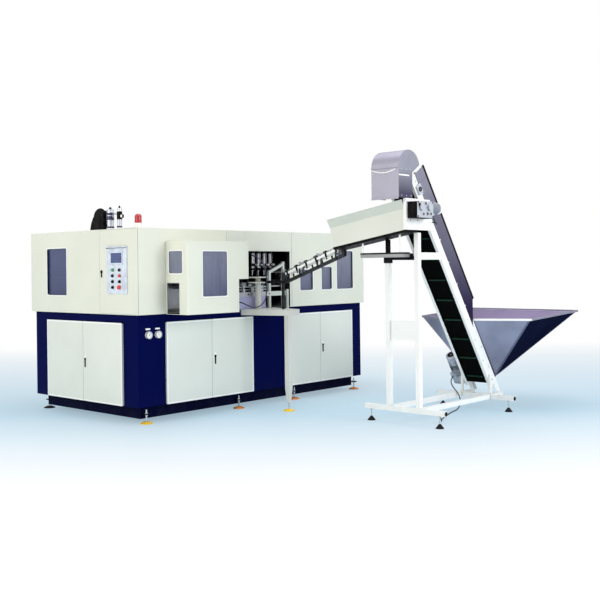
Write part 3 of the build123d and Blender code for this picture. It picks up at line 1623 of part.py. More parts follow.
# Black clamp and height-setting tube on top of the inner post
with BuildPart() as post_slide:
    clamp_span = (tower_post_top, tower_post_top + tower_clamp_height)
    tower_square(tower_xs[0], inner_y, clamp_span, tower_clamp)
    tower_square(tower_xs[0], inner_y, (clamp_span[1], inner_top), tower_inner_tube)
save_set((elevator_frame.part, post_slide.part), "elevator_frame")

# Catch tray under the orienter, hung from its beam by two straps
tray_x1 = tower_xs[0] - tower_clamp / 2
tray_x0 = tray_x1 - catch_width
catch_y = (cab_y0 + catch_start, cab_y0 + catch_start + catch_length)
with BuildPart() as catch_tray:
    block((tray_x0, tray_x1), catch_y, (catch_bottom, catch_bottom + catch_height))
    offset(amount=-catch_sheet, openings=catch_tray.faces().sort_by(Axis.Z)[-1])
    strap_x = (tray_x0, tray_x0 + catch_sheet)
    for low in (catch_y[0] + hanger_inset, catch_y[1] - hanger_inset - hanger_width):
        strap_top = beam_underside(low + hanger_width)
        block(strap_x, (low, low + hanger_width), (catch_bottom, strap_top))
save(catch_tray.part, "catch_tray")

# Lines of the sloping conveyor: along it, off its face and across it
slope = math.radians(conveyor_slope)
foot_x = cab_x0 + conveyor_foot_x
half_width = conveyor_width / 2
half_depth = conveyor_depth / 2


def slope_plane(y):
    """The conveyor's side plane: local X runs up the slope and local Y off its face."""
    up_slope = (-math.cos(slope), 0, math.sin(slope))
    return Plane(origin=(foot_x, y, conveyor_foot_z), x_dir=up_slope, z_dir=(0, 1, 0))


def slope_point(along, off, y):
    """A place given along the slope and off its face."""
    x = foot_x - along * math.cos(slope) + off * math.sin(slope)
    z = conveyor_foot_z + along * math.sin(slope) + off * math.cos(slope)
    return (x, y, z)


def slope_place(x, z):
    """The place along the slope and off its face of a point given in X and Z."""
    along = -(x - foot_x) * math.cos(slope) + (z - conveyor_foot_z) * math.sin(slope)
    off = (x - foot_x) * math.sin(slope) + (z - conveyor_foot_z) * math.cos(slope)
    return (along, off)


def slope_slab(along, off, ys, mode=Mode.ADD):
    """Adds a slab that runs between two values along the slope, off it and across it."""
    middle = ((along[0] + along[1]) / 2, (off[0] + off[1]) / 2)
    with BuildSketch(slope_plane(min(ys))) as face:
        with Locations(middle):
            Rectangle(along[1] - along[0], off[1] - off[0])
    extrude(face.sketch, amount=max(ys) - min(ys), mode=mode)


# Conveyor frame: two channels with skirts, legs, struts and cross ties
channel_run = (-conveyor_foot_over, conveyor_run + conveyor_head_over)
leg_run = (-(conveyor_foot_z - base_z[1] + half_depth) / math.sin(slope), -conveyor_foot_over)
leg_off = (conveyor_leg_low, half_depth)
flange_off = (half_depth - conveyor_wall, half_depth)
with BuildPart() as conveyor_frame:
    for side in (-1, 1):
        web = (mid_y + side * half_width, mid_y + side * (half_width - conveyor_wall))
        flange = (mid_y + side * half_width, mid_y + side * (half_width - conveyor_flange))
        slope_slab(channel_run, (-half_depth, half_depth), web)
        slope_slab(channel_run, flange_off, flange)
        slope_slab(channel_run, (-flange_off[1], -flange_off[0]), flange)
        slope_slab(leg_run, leg_off, web)
        slope_slab(leg_run, flange_off, flange)
        skirt_top = half_depth + skirt_depth
        with BuildSketch(slope_plane(min(web))) as skirt:
            with BuildLine():
                Polyline(
                    (skirt_foot, half_depth),
                    (channel_run[1], half_depth),
                    (channel_run[1], skirt_top),
                    (skirt_foot + skirt_depth * math.tan(slope), skirt_top),
                    close=True,
                )
            make_face()
        extrude(skirt.sketch, amount=skirt_sheet)
        strut_y = sorted((mid_y + side * half_width, mid_y + side * (half_width + strut_width)))
        strut = (cab_x0 + strut_x - strut_width / 2, cab_x0 + strut_x + strut_width / 2)
        block(strut, strut_y, (base_z[1], strut_top))
    for place in range(tie_count):
        along = conveyor_run * (place + 1) / (tie_count + 1)
        tie_near = slope_point(along, 0, mid_y - half_width)
        tie_far = slope_point(along, 0, mid_y + half_width)
        rod(tie_near, tie_far, tie_tube / 2)
    for along in (0, conveyor_run):
        bore = drum_shaft / 2 + pin_play
        near = slope_point(along, 0, mid_y - half_width)
        far = slope_point(along, 0, mid_y + half_width)
        rod(near, far, bore, mode=Mode.SUBTRACT)
    below = base_z[1] - conveyor_depth
    cut_x = (foot_x, foot_x + conveyor_foot_z)
    block(cut_x, (mid_y - half_width, mid_y + half_width), (below, base_z[1]), mode=Mode.SUBTRACT)

# Black edging on the skirts' upper edges
with BuildPart() as skirt_edging:
    edging_run = (skirt_foot + skirt_depth * math.tan(slope), channel_run[1])
    edging_off = (skirt_top, skirt_top + edge_trim_depth)
    for side in (-1, 1):
        outer = mid_y + side * half_width
        slope_slab(edging_run, edging_off, (outer, outer - side * edge_trim_width))
save_set((conveyor_frame.part, skirt_edging.part), "conveyor_frame")

# Belt loop round the two drums
with BuildPart() as conveyor_belt:
    with BuildSketch(slope_plane(mid_y - belt_width / 2)) as loop:
        with Locations((conveyor_run / 2, 0)):
            SlotCenterToCenter(conveyor_run, drum_diameter + 2 * belt_thickness)
            SlotCenterToCenter(conveyor_run, drum_diameter, mode=Mode.SUBTRACT)
    extrude(loop.sketch, amount=belt_width)

# Cleats that stand on the belt
belt_face = drum_diameter / 2 + belt_thickness
cleat_y = (mid_y - cleat_width / 2, mid_y + cleat_width / 2)
with BuildPart() as belt_cleats:
    for place in range(cleat_count):
        start = cleat_start + place * cleat_pitch
        cleat = (start, start + cleat_thickness)
        slope_slab(cleat, (-belt_face - cleat_height, -belt_face), cleat_y)
        slope_slab(cleat, (belt_face, belt_face + cleat_height), cleat_y)
save_set((conveyor_belt.part, belt_cleats.part), "conveyor_belt")

# Drums with their shafts; the foot shaft runs on into the gearbox
gearbox_near = mid_y + half_width + strut_width
gearbox_y = (gearbox_near, gearbox_near + gearbox_depth)
for label, along, far in (
    ("foot_drum", 0, gearbox_y[1]),
    ("head_drum", conveyor_run, mid_y + half_width),
):
    with BuildPart() as drum:
        drum_near = slope_point(along, 0, mid_y - belt_width / 2)
        drum_far = slope_point(along, 0, mid_y + belt_width / 2)
        rod(drum_near, drum_far, drum_diameter / 2 - drum_gap)
        shaft_near = slope_point(along, 0, mid_y - half_width)
        shaft_far = slope_point(along, 0, far)
        rod(shaft_near, shaft_far, drum_shaft / 2)
    save(drum.part, label)

# Belt drive: gearbox on the foot shaft, motor beside the channel, terminal box and gland
belt_motor_y = sum(gearbox_y) / 2
with BuildPart() as belt_motor:
    box_span = (-gearbox_half, gearbox_half)
    slope_slab(box_span, box_span, gearbox_y)
    bore_near = slope_point(0, 0, gearbox_y[0])
    bore_far = slope_point(0, 0, gearbox_y[1])
    rod(bore_near, bore_far, drum_shaft / 2 + pin_play, mode=Mode.SUBTRACT)
    motor_foot = slope_point(gearbox_half, 0, belt_motor_y)
    motor_head = slope_point(gearbox_half + belt_motor_length, 0, belt_motor_y)
    rod(motor_foot, motor_head, belt_motor_diameter / 2)
    fan_start = slope_point(gearbox_half + belt_motor_length - fan_cover, 0, belt_motor_y)
    fan_end = slope_point(gearbox_half + belt_motor_length + terminal_depth, 0, belt_motor_y)
    rod(fan_start, fan_end, belt_motor_diameter / 2 + running_gap)
    terminal_run = (belt_motor_diameter / 2, belt_motor_diameter / 2 + terminal_box)
    terminal_off = (-belt_motor_diameter / 2 - terminal_depth, -terminal_depth)
    terminal_y = (belt_motor_y - terminal_box / 2, belt_motor_y + terminal_box / 2)
    slope_slab(terminal_run, terminal_off, terminal_y)
    terminal_middle = sum(terminal_run) / 2
    gland_root = slope_point(terminal_middle, terminal_off[0], belt_motor_y)
    motor_gland = slope_point(terminal_middle, terminal_off[0] - gland_length, belt_motor_y)
    rod(gland_root, motor_gland, gland_diameter / 2)
save(belt_motor.part, "belt_motor")

# Hood over the conveyor's head: two cheeks and a bent sheet that turns into the front chute
hood_x0 = cab_x0 + hood_front
hood_middle = hood_x0 + hood_radius
hood_spring = hood_top - hood_radius
cheek_back = cab_x0 + hood_cheek_back
back_angle = math.radians(hood_back_angle)
hood_back_x = hood_middle + hood_radius * math.cos(back_angle)
hood_back_z = hood_spring + hood_radius * math.sin(back_angle)
cheek_rise = hood_back_z - (hood_back_x - cheek_back) / math.tan(slope)
hood_outer = half_width + hood_sheet
with BuildPart() as head_hood:
    for side in (-1, 1):
        cheek_y = sorted((mid_y + side * half_width, mid_y + side * hood_outer))
        with BuildSketch(Plane(origin=(0, cheek_y[1], 0), x_dir=(1, 0, 0), z_dir=(0, -1, 0))) as cheek:
            with BuildLine():
                Polyline(
                    (hood_x0, hood_spring),
                    (hood_x0, hood_side_bottom),
                    (cheek_back, hood_side_bottom),
                    (cheek_back, cheek_rise),
                    (hood_back_x, hood_back_z),
                )
                crown = (hood_middle, hood_top)
                ThreePointArc((hood_x0, hood_spring), crown, (hood_back_x, hood_back_z))
            make_face()
        extrude(cheek.sketch, amount=hood_sheet)
    hood_plane = Plane(origin=(0, mid_y + half_width, 0), x_dir=(1, 0, 0), z_dir=(0, -1, 0))
    inner_radius = hood_radius - hood_sheet
    inner_back_x = hood_middle + inner_radius * math.cos(back_angle)
    inner_back_z = hood_spring + inner_radius * math.sin(back_angle)
    with BuildSketch(hood_plane) as sheet:
        with BuildLine():
            Line((hood_x0, hood_front_bottom), (hood_x0, hood_spring))
            ThreePointArc((hood_x0, hood_spring), crown, (hood_back_x, hood_back_z))
            Line((hood_back_x, hood_back_z), (inner_back_x, inner_back_z))
            inner_crown = (hood_middle, hood_top - hood_sheet)
            inner_front = hood_x0 + hood_sheet
            ThreePointArc((inner_back_x, inner_back_z), inner_crown, (inner_front, hood_spring))
            Line((inner_front, hood_spring), (inner_front, hood_front_bottom))
            Line((inner_front, hood_front_bottom), (hood_x0, hood_front_bottom))
        make_face()
    extrude(sheet.sketch, amount=conveyor_width)
    hood_y = (mid_y - hood_outer, mid_y + hood_outer)
    for rise in (hood_bead_rise, hood_front_bottom):
        block((hood_x0 - hood_bead_proud, hood_x0), hood_y, (rise, rise + hood_bead))
save(head_hood.part, "head_hood")

# Corner places of the hopper in X and Z
hopper_a = (cab_x0 + hopper_start_x, hopper_top)
hopper_b = (cab_x0 + hopper_near_x, hopper_top)
hopper_c = (cab_x0 + hopper_far_x, hopper_far_top)
hopper_apex = (cab_x0 + hopper_apex_x, hopper_apex_z)


def hopper_corner(place, half):
    """A corner of the hopper on one side of its middle plane."""
    return Vector(place[0], mid_y + half, place[1])


rim_half = hopper_rim / 2
rim_path = []
for side in (-1, 1):
    near = hopper_corner(hopper_a, side * half_width)
    flare = hopper_corner(hopper_b, side * hopper_half_width)
    far = hopper_corner(hopper_c, side * hopper_half_width)
    rim_path += [(near, flare), (flare, far)]
rim_path.append(
    (hopper_corner(hopper_c, -hopper_half_width), hopper_corner(hopper_c, hopper_half_width))
)

# White folded rim round the hopper's mouth
with BuildPart() as hopper_rim_frame:
    for start, end in rim_path:
        run = end - start
        across = Vector(0, 0, 1).cross(run)
        bar(tuple(start), tuple(end), hopper_rim, hopper_rim, across=tuple(across))
    for side in (-1, 1):
        for place in (hopper_b, hopper_c):
            corner = hopper_corner(place, side * hopper_half_width)
            rim_x = (corner.X - rim_half, corner.X + rim_half)
            rim_y = (corner.Y - rim_half, corner.Y + rim_half)
            block(rim_x, rim_y, (corner.Z - rim_half, corner.Z + rim_half))

# The hopper's outline as one closed body, and the hollow inside its five walls
corners_a = [hopper_corner(hopper_a, side * half_width) for side in (-1, 1)]
corners_b = [hopper_corner(hopper_b, side * hopper_half_width) for side in (-1, 1)]
corners_c = [hopper_corner(hopper_c, side * hopper_half_width) for side in (-1, 1)]
corners_low = [hopper_corner(hopper_apex, side * half_width) for side in (-1, 1)]
hopper_open = [
    (corners_a[0], corners_b[0], corners_b[1], corners_a[1]),
    (corners_b[0], corners_c[0], corners_c[1], corners_b[1]),
    (corners_a[0], corners_a[1], corners_low[1], corners_low[0]),
]
hopper_walls = [(corners_c[0], corners_c[1], corners_low[1], corners_low[0])]
for near, flare, far, low in zip(corners_a, corners_b, corners_c, corners_low):
    hopper_walls += [(near, flare, low), (flare, far, low)]
hopper_faces = [Face(Wire.make_polygon(outline)) for outline in hopper_open + hopper_walls]
hopper_body = Solid(Shell(hopper_faces))
hopper_inside = Vector(hopper_b[0], mid_y, hopper_top)
with BuildPart() as hopper_hollow:
    hollow_y = (corners_b[0].Y, corners_b[1].Y)
    block((hopper_a[0], hopper_c[0]), hollow_y, (hopper_apex_z, hopper_far_top + hopper_top))
    for corners in hopper_walls:
        inward = (corners[1] - corners[0]).cross(corners[2] - corners[0]).normalized()
        if inward.dot(hopper_inside - corners[0]) < 0:
            inward = -inward
        inner_plane = Plane(origin=corners[0] + inward * hopper_sheet, z_dir=inward)
        split(bisect_by=inner_plane, keep=Keep.TOP)

# Hopper: flared near walls, long sides and an end wall, with side strips to the conveyor
with BuildPart() as feed_hopper:
    add(hopper_body)
    add(hopper_hollow.part, mode=Mode.SUBTRACT)
    start = slope_place(hopper_a[0], hopper_a[1])
    stop = slope_place(hopper_apex[0], hopper_apex[1])
    for side in (-1, 1):
        strip_y = (mid_y + side * half_width, mid_y + side * (half_width - hopper_sheet))
        with BuildSketch(slope_plane(min(strip_y))) as strip:
            with BuildLine():
                Polyline(
                    (start[0], half_depth),
                    (start[0], start[1]),
                    (stop[0], stop[1]),
                    (stop[0], half_depth),
                    close=True,
                )
            make_face()
        extrude(strip.sketch, amount=hopper_sheet)
    add(hopper_rim_frame.part, mode=Mode.SUBTRACT)
save_set((feed_hopper.part, hopper_rim_frame.part), "feed_hopper")


def trough_plane(along):
    """A cross plane of the orienter that looks up its length, with local Y off its floor."""
    uphill = (0, -trough_along[1], -trough_along[2])
    return Plane(origin=trough_point(0, along, 0), x_dir=(1, 0, 0), z_dir=uphill)


# Orienter trough: folded sides with an outward lip, low end wall and the plate at its high end
side_out = orienter_width / 2
side_in = side_out - orienter_sheet
lip_top = orienter_height + orienter_lip
overrun = lip_top * math.tan(tilt) + orienter_beam
roller_out = (roller_diameter + roller_gap) / 2
trim_low = orienter_high_z - lip_top
trim_high = orienter_high_z + 2 * lip_top
trough_trim_x = (trough_x - orienter_width, trough_x + orienter_width)
with BuildPart() as orienter_trough:
    with BuildSketch(trough_plane(orienter_length)) as section:
        with BuildLine():
            Polyline(
                (-side_out, 0),
                (side_out, 0),
                (side_out, lip_top),
                (side_in, lip_top),
                (side_in, orienter_sheet),
                (-side_in, orienter_sheet),
                (-side_in, orienter_height),
                (-side_in - orienter_lip_flare, lip_top),
                (-side_out - orienter_lip_flare, lip_top),
                (-side_out, orienter_height),
                close=True,
            )
        make_face()
    extrude(section.sketch, amount=orienter_length + overrun)
    with BuildSketch(trough_plane(orienter_length)) as low_wall:
        with Locations((0, orienter_height / 2)):
            Rectangle(2 * side_in, orienter_height)
        with Locations((0, outlet_bottom + orienter_height / 2)):
            Rectangle(outlet_width, orienter_height, mode=Mode.SUBTRACT)
    extrude(low_wall.sketch, amount=orienter_end_wall)
    trim_y = (high_y - 2 * overrun, high_y)
    block(trough_trim_x, trim_y, (trim_low, trim_high), mode=Mode.SUBTRACT)
    plate_span_x = (cab_x0 + end_plate_x, cab_x0 + end_plate_x + end_plate_width)
    plate_span_z = (orienter_high_z, orienter_high_z + end_plate_height)
    block(plate_span_x, (high_y - end_plate_thickness, high_y), plate_span_z)
    for side in (-1, 1):
        bore_low = trough_point(side * roller_out, orienter_length, roller_level)
        bore_high = trough_point(side * roller_out, -overrun, roller_level)
        rod(bore_low, bore_high, roller_shaft / 2 + pin_play, mode=Mode.SUBTRACT)

# Black beam under the orienter
with BuildPart() as orienter_bed:
    with BuildSketch(trough_plane(orienter_length)) as bed_section:
        with Locations((0, -orienter_beam / 2)):
            Rectangle(orienter_width - 2 * orienter_beam_inset, orienter_beam)
    extrude(bed_section.sketch, amount=orienter_length + overrun)
    block(trough_trim_x, trim_y, (trim_low, trim_high), mode=Mode.SUBTRACT)
save_set((orienter_trough.part, orienter_bed.part), "orienter_trough")

# The two counter-turning rollers that hang the preforms by their necks
for label, side in (("orienter_roller_1", -1), ("orienter_roller_2", 1)):
    with BuildPart() as roller:
        body_high = trough_point(side * roller_out, roller_end_gap, roller_level)
        body_end = orienter_length - orienter_end_wall - roller_end_gap
        body_low = trough_point(side * roller_out, body_end, roller_level)
        rod(body_high, body_low, roller_diameter / 2)
        axle_high = trough_point(side * roller_out, -roller_shaft_in, roller_level)
        axle_end = orienter_length + roller_end_gap
        axle_low = trough_point(side * roller_out, axle_end, roller_level)
        rod(axle_high, axle_low, roller_shaft / 2)
    save(roller.part, label)

# Orienter drive on the end plate: gearcase, motor, terminal box and gland
case_face = high_y - end_plate_thickness
with BuildPart() as orienter_motor:
    case_x = (cab_x0 + gearcase_x, cab_x0 + gearcase_x + gearcase_width)
    case_y = (case_face - gearcase_depth, case_face)
    block(case_x, case_y, (gearcase_bottom, gearcase_top))
    case_middle = sum(case_y) / 2
    drive_start = (case_x[1], case_middle, orienter_motor_z)
    drive_end = (case_x[1] + orienter_motor_length, case_middle, orienter_motor_z)
    rod(drive_start, drive_end, orienter_motor_diameter / 2)
    for place in (1, 3):
        boss_x = case_x[0] + place * gearcase_width / 4
        boss_back = (boss_x, case_y[0], orienter_motor_z)
        boss_front = (boss_x, case_y[0] - terminal_depth / 2, orienter_motor_z)
        rod(boss_back, boss_front, terminal_box / 2)
    outlet_x = case_x[1] + orienter_motor_length / 2
    terminal_low = orienter_motor_z - orienter_motor_diameter / 2
    outlet_root = (outlet_x, case_middle, terminal_low + running_gap)
    orienter_gland = (outlet_x, case_middle, terminal_low - gland_length)
    rod(outlet_root, orienter_gland, gland_diameter / 2)
save(orienter_motor.part, "orienter_motor")


def rail_height(y):
    """The rail's top over a place given as on the cabinet's own axes."""
    fall = (rail_level - rail_start_z) / (rail_bend_y - rail_start_y)
    return rail_start_z + fall * (min(y, rail_bend_y) - rail_start_y)


def rail_strip(xs, y_start, y_end, rise, depth):
    """Adds a bar that follows the rail's line between two places."""
    stations = [y_start, rail_bend_y, y_end]
    tops = [(cab_y0 + y, rail_height(y) + rise) for y in stations]
    lows = [(y, z - depth) for y, z in reversed(tops)]
    with BuildSketch(Plane(origin=(min(xs), 0, 0), x_dir=(0, 1, 0), z_dir=(1, 0, 0))) as strip:
        with BuildLine():
            Polyline(*tops, *lows, close=True)
        make_face()
    extrude(strip.sketch, amount=max(xs) - min(xs))


# Preform rail: two bars with a slot between, guard bars, brackets, hangers and a post
rail_x = cab_x0 + orienter_x
rail_inner = rail_gap / 2
rail_outer = rail_inner + rail_bar
with BuildPart() as preform_rail:
    for side in (-1, 1):
        bar_x = (rail_x + side * rail_inner, rail_x + side * rail_outer)
        rail_strip(bar_x, rail_start_y, rail_end_y, 0, rail_depth)
        guard_xs = (rail_x + side * guard_offset, rail_x + side * (guard_offset + guard_bar))
        rail_strip(guard_xs, bracket_first_y, guard_end_y, guard_rise + guard_bar, guard_bar)
        for place in range(bracket_count):
            y = bracket_first_y + (place + 0.5) * bracket_bar + place * bracket_pitch
            bracket_y = (cab_y0 + y - bracket_bar / 2, cab_y0 + y + bracket_bar / 2)
            low = rail_height(y) - rail_depth
            high = rail_height(y) + guard_rise + 2 * guard_bar
            cheek_x = sorted((rail_x + side * rail_outer, rail_x + side * (rail_outer + bracket_bar)))
            block(cheek_x, bracket_y, (low, high))
            block((rail_x, cheek_x[side > 0]), bracket_y, (high, high + bracket_bar))
        hang_y = (cab_y0 + rail_start_y, cab_y0 + rail_start_y + rail_depth)
        hang_z = (rail_height(rail_start_y + rail_depth) - rail_depth / 2, beam_underside(hang_y[1]))
        block(sorted(bar_x), hang_y, hang_z)
    post_half = rail_post / 2
    post_x = (cab_x0 + rail_post_x - post_half, cab_x0 + rail_post_x + post_half)
    rail_post_ys = (cab_y0 + rail_post_y - post_half, cab_y0 + rail_post_y + post_half)
    block(post_x, rail_post_ys, (table_top, rail_level + guard_rise))
    block((rail_x + rail_outer, post_x[0]), rail_post_ys, (rail_level - rail_depth, rail_level))
save(preform_rail.part, "preform_rail")


def cord_radii(points):
    """The bend radius at each inner point of a cord's route."""
    radii = []
    for before, here, after in zip(points, points[1:], points[2:]):
        run_in = Vector(*here) - Vector(*before)
        run_out = Vector(*after) - Vector(*here)
        half_turn = math.radians(run_in.get_angle(run_out)) / 2
        shorter = min(run_in.length, run_out.length)
        radii.append(0.45 * shorter / math.tan(half_turn))
    return radii


def cord(label, points, diameter):
    """Makes a cord as a round tube along straight runs with tangent bends."""
    radii = cord_radii(points)
    print(label, "bend radii", [round(radius) for radius in radii])
    with BuildPart() as tube:
        with BuildLine() as route:
            FilletPolyline(*points, radius=radii)
        route_length = sum(edge.length for edge in route.edges())
        heading = Vector(*points[1]) - Vector(*points[0])
        with BuildSketch(Plane(origin=points[0], z_dir=heading)) as section:
            Circle(diameter / 2)
        sweep(section.sketch, path=route.line)
    print(label, "volume share", tube.part.volume / (section.sketch.area * route_length))
    save(tube.part, label)


def cabinet_point(x, y, z):
    """A place given on the cabinet's own axes."""
    return (cab_x0 + x, cab_y0 + y, z)


# Cable from the belt motor down to the floor, along it and up to the elevator base
floor_lie = motor_cable / 2 + floor_clearance
motor_gland_out = terminal_off[0] - gland_length - cable_lead
belt_cable_points = [
    motor_gland,
    slope_point(terminal_middle, motor_gland_out, belt_motor_y),
    cabinet_point(3030, -1862, 258),
    cabinet_point(3028, -1914, 206),
    cabinet_point(3030, -1962, 148),
    cabinet_point(3014, -1990, 86),
    cabinet_point(2964, -2006, 34),
    cabinet_point(2890, -2020, floor_lie),
    cabinet_point(2780, -2046, floor_lie),
    cabinet_point(2650, -2086, floor_lie),
    cabinet_point(2515, -2134, floor_lie),
    cabinet_point(2380, -2186, floor_lie),
    cabinet_point(2265, -2236, floor_lie),
    cabinet_point(2175, -2285, 8),
    cabinet_point(2101, -2333, 14),
    cabinet_point(2035, -2379, 32),
    cabinet_point(1977, -2413, 62),
    cabinet_point(1927, -2427, 98),
    cabinet_point(1889, -2409, 127),
    cabinet_point(1865, -2378, 143),
    (cable_end[0], cable_end[1] - cord_lead, cable_end[2]),
    cable_end,
]
cord("belt_motor_cable", belt_cable_points, motor_cable)

# Short cable from the orienter's motor to the conveyor's side
orienter_cable_y = mid_y - half_width - running_gap
orienter_cable_end = (cab_x0 + orienter_cable_x, orienter_cable_y, orienter_cable_z)
orienter_cable_points = [
    orienter_gland,
    (orienter_gland[0], orienter_gland[1], orienter_gland[2] - cord_lead),
    cabinet_point(1984, -2357, 2083),
    cabinet_point(2013, -2352, 2060),
    cabinet_point(2047, -2340, 2055),
    cabinet_point(2076, -2319, 2067),
    (orienter_cable_end[0] - 1, orienter_cable_end[1] - cord_lead, orienter_cable_end[2]),
    orienter_cable_end,
]
cord("orienter_motor_cable", orienter_cable_points, orienter_cable)

# Air hose that droops in front of the infeed opening
hose_points = [
    hose_start,
    (hose_start[0], hose_start[1] - 44, hose_start[2]),
    cabinet_point(1462, -124, 1204),
    cabinet_point(1516, -176, 1172),
    cabinet_point(1578, -214, 1180),
    cabinet_point(1634, -236, 1226),
    cabinet_point(1662, -246, 1300),
    cabinet_point(1668, -250, 1396),
    cabinet_point(1669, -250, 1500),
    cabinet_point(1656, -244, 1596),
    cabinet_point(1644, -218, 1684),
    cabinet_point(1642, -150, 1744),
    cabinet_point(1646, -68, 1768),
    cabinet_point(1656, 14, 1790),
    (hose_end[0], hose_end[1] - 74, hose_end[2]),
    hose_end,
]
cord("front_hose", hose_points, hose_diameter)
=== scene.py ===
import itertools
import json
import math

import bmesh
import bpy
from mathutils import Matrix, Vector

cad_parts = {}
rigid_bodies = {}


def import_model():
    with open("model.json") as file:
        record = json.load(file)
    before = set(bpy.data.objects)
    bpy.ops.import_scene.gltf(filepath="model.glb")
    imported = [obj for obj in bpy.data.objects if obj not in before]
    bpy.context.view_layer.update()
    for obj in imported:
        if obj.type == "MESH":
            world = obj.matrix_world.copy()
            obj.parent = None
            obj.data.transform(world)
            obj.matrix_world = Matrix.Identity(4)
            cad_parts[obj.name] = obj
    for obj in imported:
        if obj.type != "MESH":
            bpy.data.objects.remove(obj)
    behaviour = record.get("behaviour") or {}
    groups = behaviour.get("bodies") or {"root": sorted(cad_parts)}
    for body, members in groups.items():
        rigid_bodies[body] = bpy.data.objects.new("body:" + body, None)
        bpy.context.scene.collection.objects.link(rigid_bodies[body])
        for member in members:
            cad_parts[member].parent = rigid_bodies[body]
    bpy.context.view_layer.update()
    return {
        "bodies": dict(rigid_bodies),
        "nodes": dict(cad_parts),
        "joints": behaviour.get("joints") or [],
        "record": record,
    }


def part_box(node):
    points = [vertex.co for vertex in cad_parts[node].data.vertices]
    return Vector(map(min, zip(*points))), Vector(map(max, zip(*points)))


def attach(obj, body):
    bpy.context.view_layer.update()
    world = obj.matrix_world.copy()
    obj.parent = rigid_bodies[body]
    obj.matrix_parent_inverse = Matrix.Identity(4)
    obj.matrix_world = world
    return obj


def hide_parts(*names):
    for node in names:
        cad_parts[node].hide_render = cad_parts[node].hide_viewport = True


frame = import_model()
nodes = frame["nodes"]
bpy.context.scene.view_settings.view_transform = "Standard"

X, Y, Z = range(3)
# Cabinet axes start this far from the row frame's origin
CAB_X, CAB_Y = -0.135, -0.045
# Outer faces of the upper panels, the lower leaves and the bay
FACE_Y, END_X = -0.083, -0.173
FRONT_LEAF, END_LEAF, BAY_FRONT = -0.066, -0.156, -0.435
ROOM_MIDDLE, BAY_MIDDLE = Vector((1.7, 0.9, 1.6)), Vector((0.667, -0.2, 1.53))
# Conveyor: middle plane, half the width of its channel, slope, and the axis of its lower drum
MID_Y, CHANNEL_HALF = -2.133, 0.168
SLOPE = math.radians(56.1)
FOOT = Vector((3.120, MID_Y, 0.330))
ALONG = Vector((-math.cos(SLOPE), 0, math.sin(SLOPE)))
OFF = Vector((math.sin(SLOPE), 0, math.cos(SLOPE)))
HOPPER_MIDDLE = Vector((3.35, MID_Y, 0.92))

# Camera at the photograph's place, taken from the machine's vanishing lines
YAW, PITCH, ROLL = math.radians(42.231), math.radians(0.0092), math.radians(-0.6894)
CAMERA_PLACE = Vector((-6.0464, -7.6968, 1.62))


def make_camera():
    """The camera, turned about its line of sight as the photograph is."""
    forward = Vector((math.cos(YAW) * math.cos(PITCH), math.sin(YAW) * math.cos(PITCH), math.sin(PITCH)))
    right = Vector((math.sin(YAW), -math.cos(YAW), 0))
    up = right.cross(forward)
    turned_right = right * math.cos(ROLL) + up * math.sin(ROLL)
    turned_up = up * math.cos(ROLL) - right * math.sin(ROLL)
    data = bpy.data.cameras.new("camera")
    data.sensor_width = 36
    data.lens = 55.0
    data.shift_y = -0.0535
    data.clip_end = 200
    camera = bpy.data.objects.new("camera", data)
    axes = Matrix((turned_right, turned_up, -forward)).transposed()
    camera.matrix_world = Matrix.Translation(CAMERA_PLACE) @ axes.to_4x4()
    bpy.context.scene.collection.objects.link(camera)
    bpy.context.scene.camera = camera


# Shader helpers
def feed(tree, value, target):
    """Links a socket to an input, or writes a number, vector or colour into it."""
    if isinstance(value, tuple):
        target.default_value = (*value, 1)[:len(target.default_value)]
    elif isinstance(value, (int, float)):
        target.default_value = value
    else:
        tree.links.new(value, target)


def put(tree, node, **inputs):
    """Sets a node's inputs by name, where an underscore stands for a space."""
    for name, value in inputs.items():
        feed(tree, value, node.inputs[name.replace("_", " ")])


def new_node(tree, kind, **inputs):
    """A shader node with its inputs set by name."""
    node = tree.nodes.new("ShaderNode" + kind)
    put(tree, node, **inputs)
    return node


def new_material(name):
    """A material, its node tree and its main shader."""
    material = bpy.data.materials.new(name)
    material.use_nodes = True
    tree = material.node_tree
    return material, tree, tree.nodes["Principled BSDF"]


def coords(tree, scale=(1, 1, 1), turn=(0, 0, 0)):
    """Object coordinates in metres, stretched and turned."""
    source = new_node(tree, "TexCoord").outputs["Object"]
    return new_node(tree, "Mapping", Vector=source, Scale=scale, Rotation=turn).outputs["Vector"]


def place_of(tree):
    """Object coordinates as X, Y and Z, where Z is the height over the floor."""
    return new_node(tree, "SeparateXYZ", Vector=new_node(tree, "TexCoord").outputs["Object"]).outputs


def noise(tree, vector, scale, detail=4.0, rough=0.5):
    """Noise over a vector."""
    node = new_node(tree, "TexNoise", Vector=vector, Scale=scale, Detail=detail, Roughness=rough)
    return node.outputs["Fac"]


def span(tree, value, low, high, to_low=0.0, to_high=1.0):
    """Maps a value from one range to another, clamped."""
    node = new_node(tree, "MapRange", Value=value, From_Min=low, From_Max=high, To_Min=to_low, To_Max=to_high)
    return node.outputs["Result"]


def maths(tree, kind, a, b):
    """One math node over sockets or numbers."""
    node = new_node(tree, "Math")
    node.operation = kind
    feed(tree, a, node.inputs[0])
    feed(tree, b, node.inputs[1])
    return node.outputs[0]


def times(tree, a, b):
    """One value scaled by another."""
    return maths(tree, "MULTIPLY", a, b)


def mixed(tree, factor, a, b):
    """Mixes two colours, given as sockets or tuples."""
    node = new_node(tree, "Mix")
    node.data_type = "RGBA"
    for slot, value in ((0, factor), (6, a), (7, b)):
        feed(tree, value, node.inputs[slot])
    return node.outputs[2]


def scaled(color, share, lift=0.0):
    """A colour made darker or lighter, no brighter than white."""
    return tuple(min(1.0, c * share + lift) for c in color)


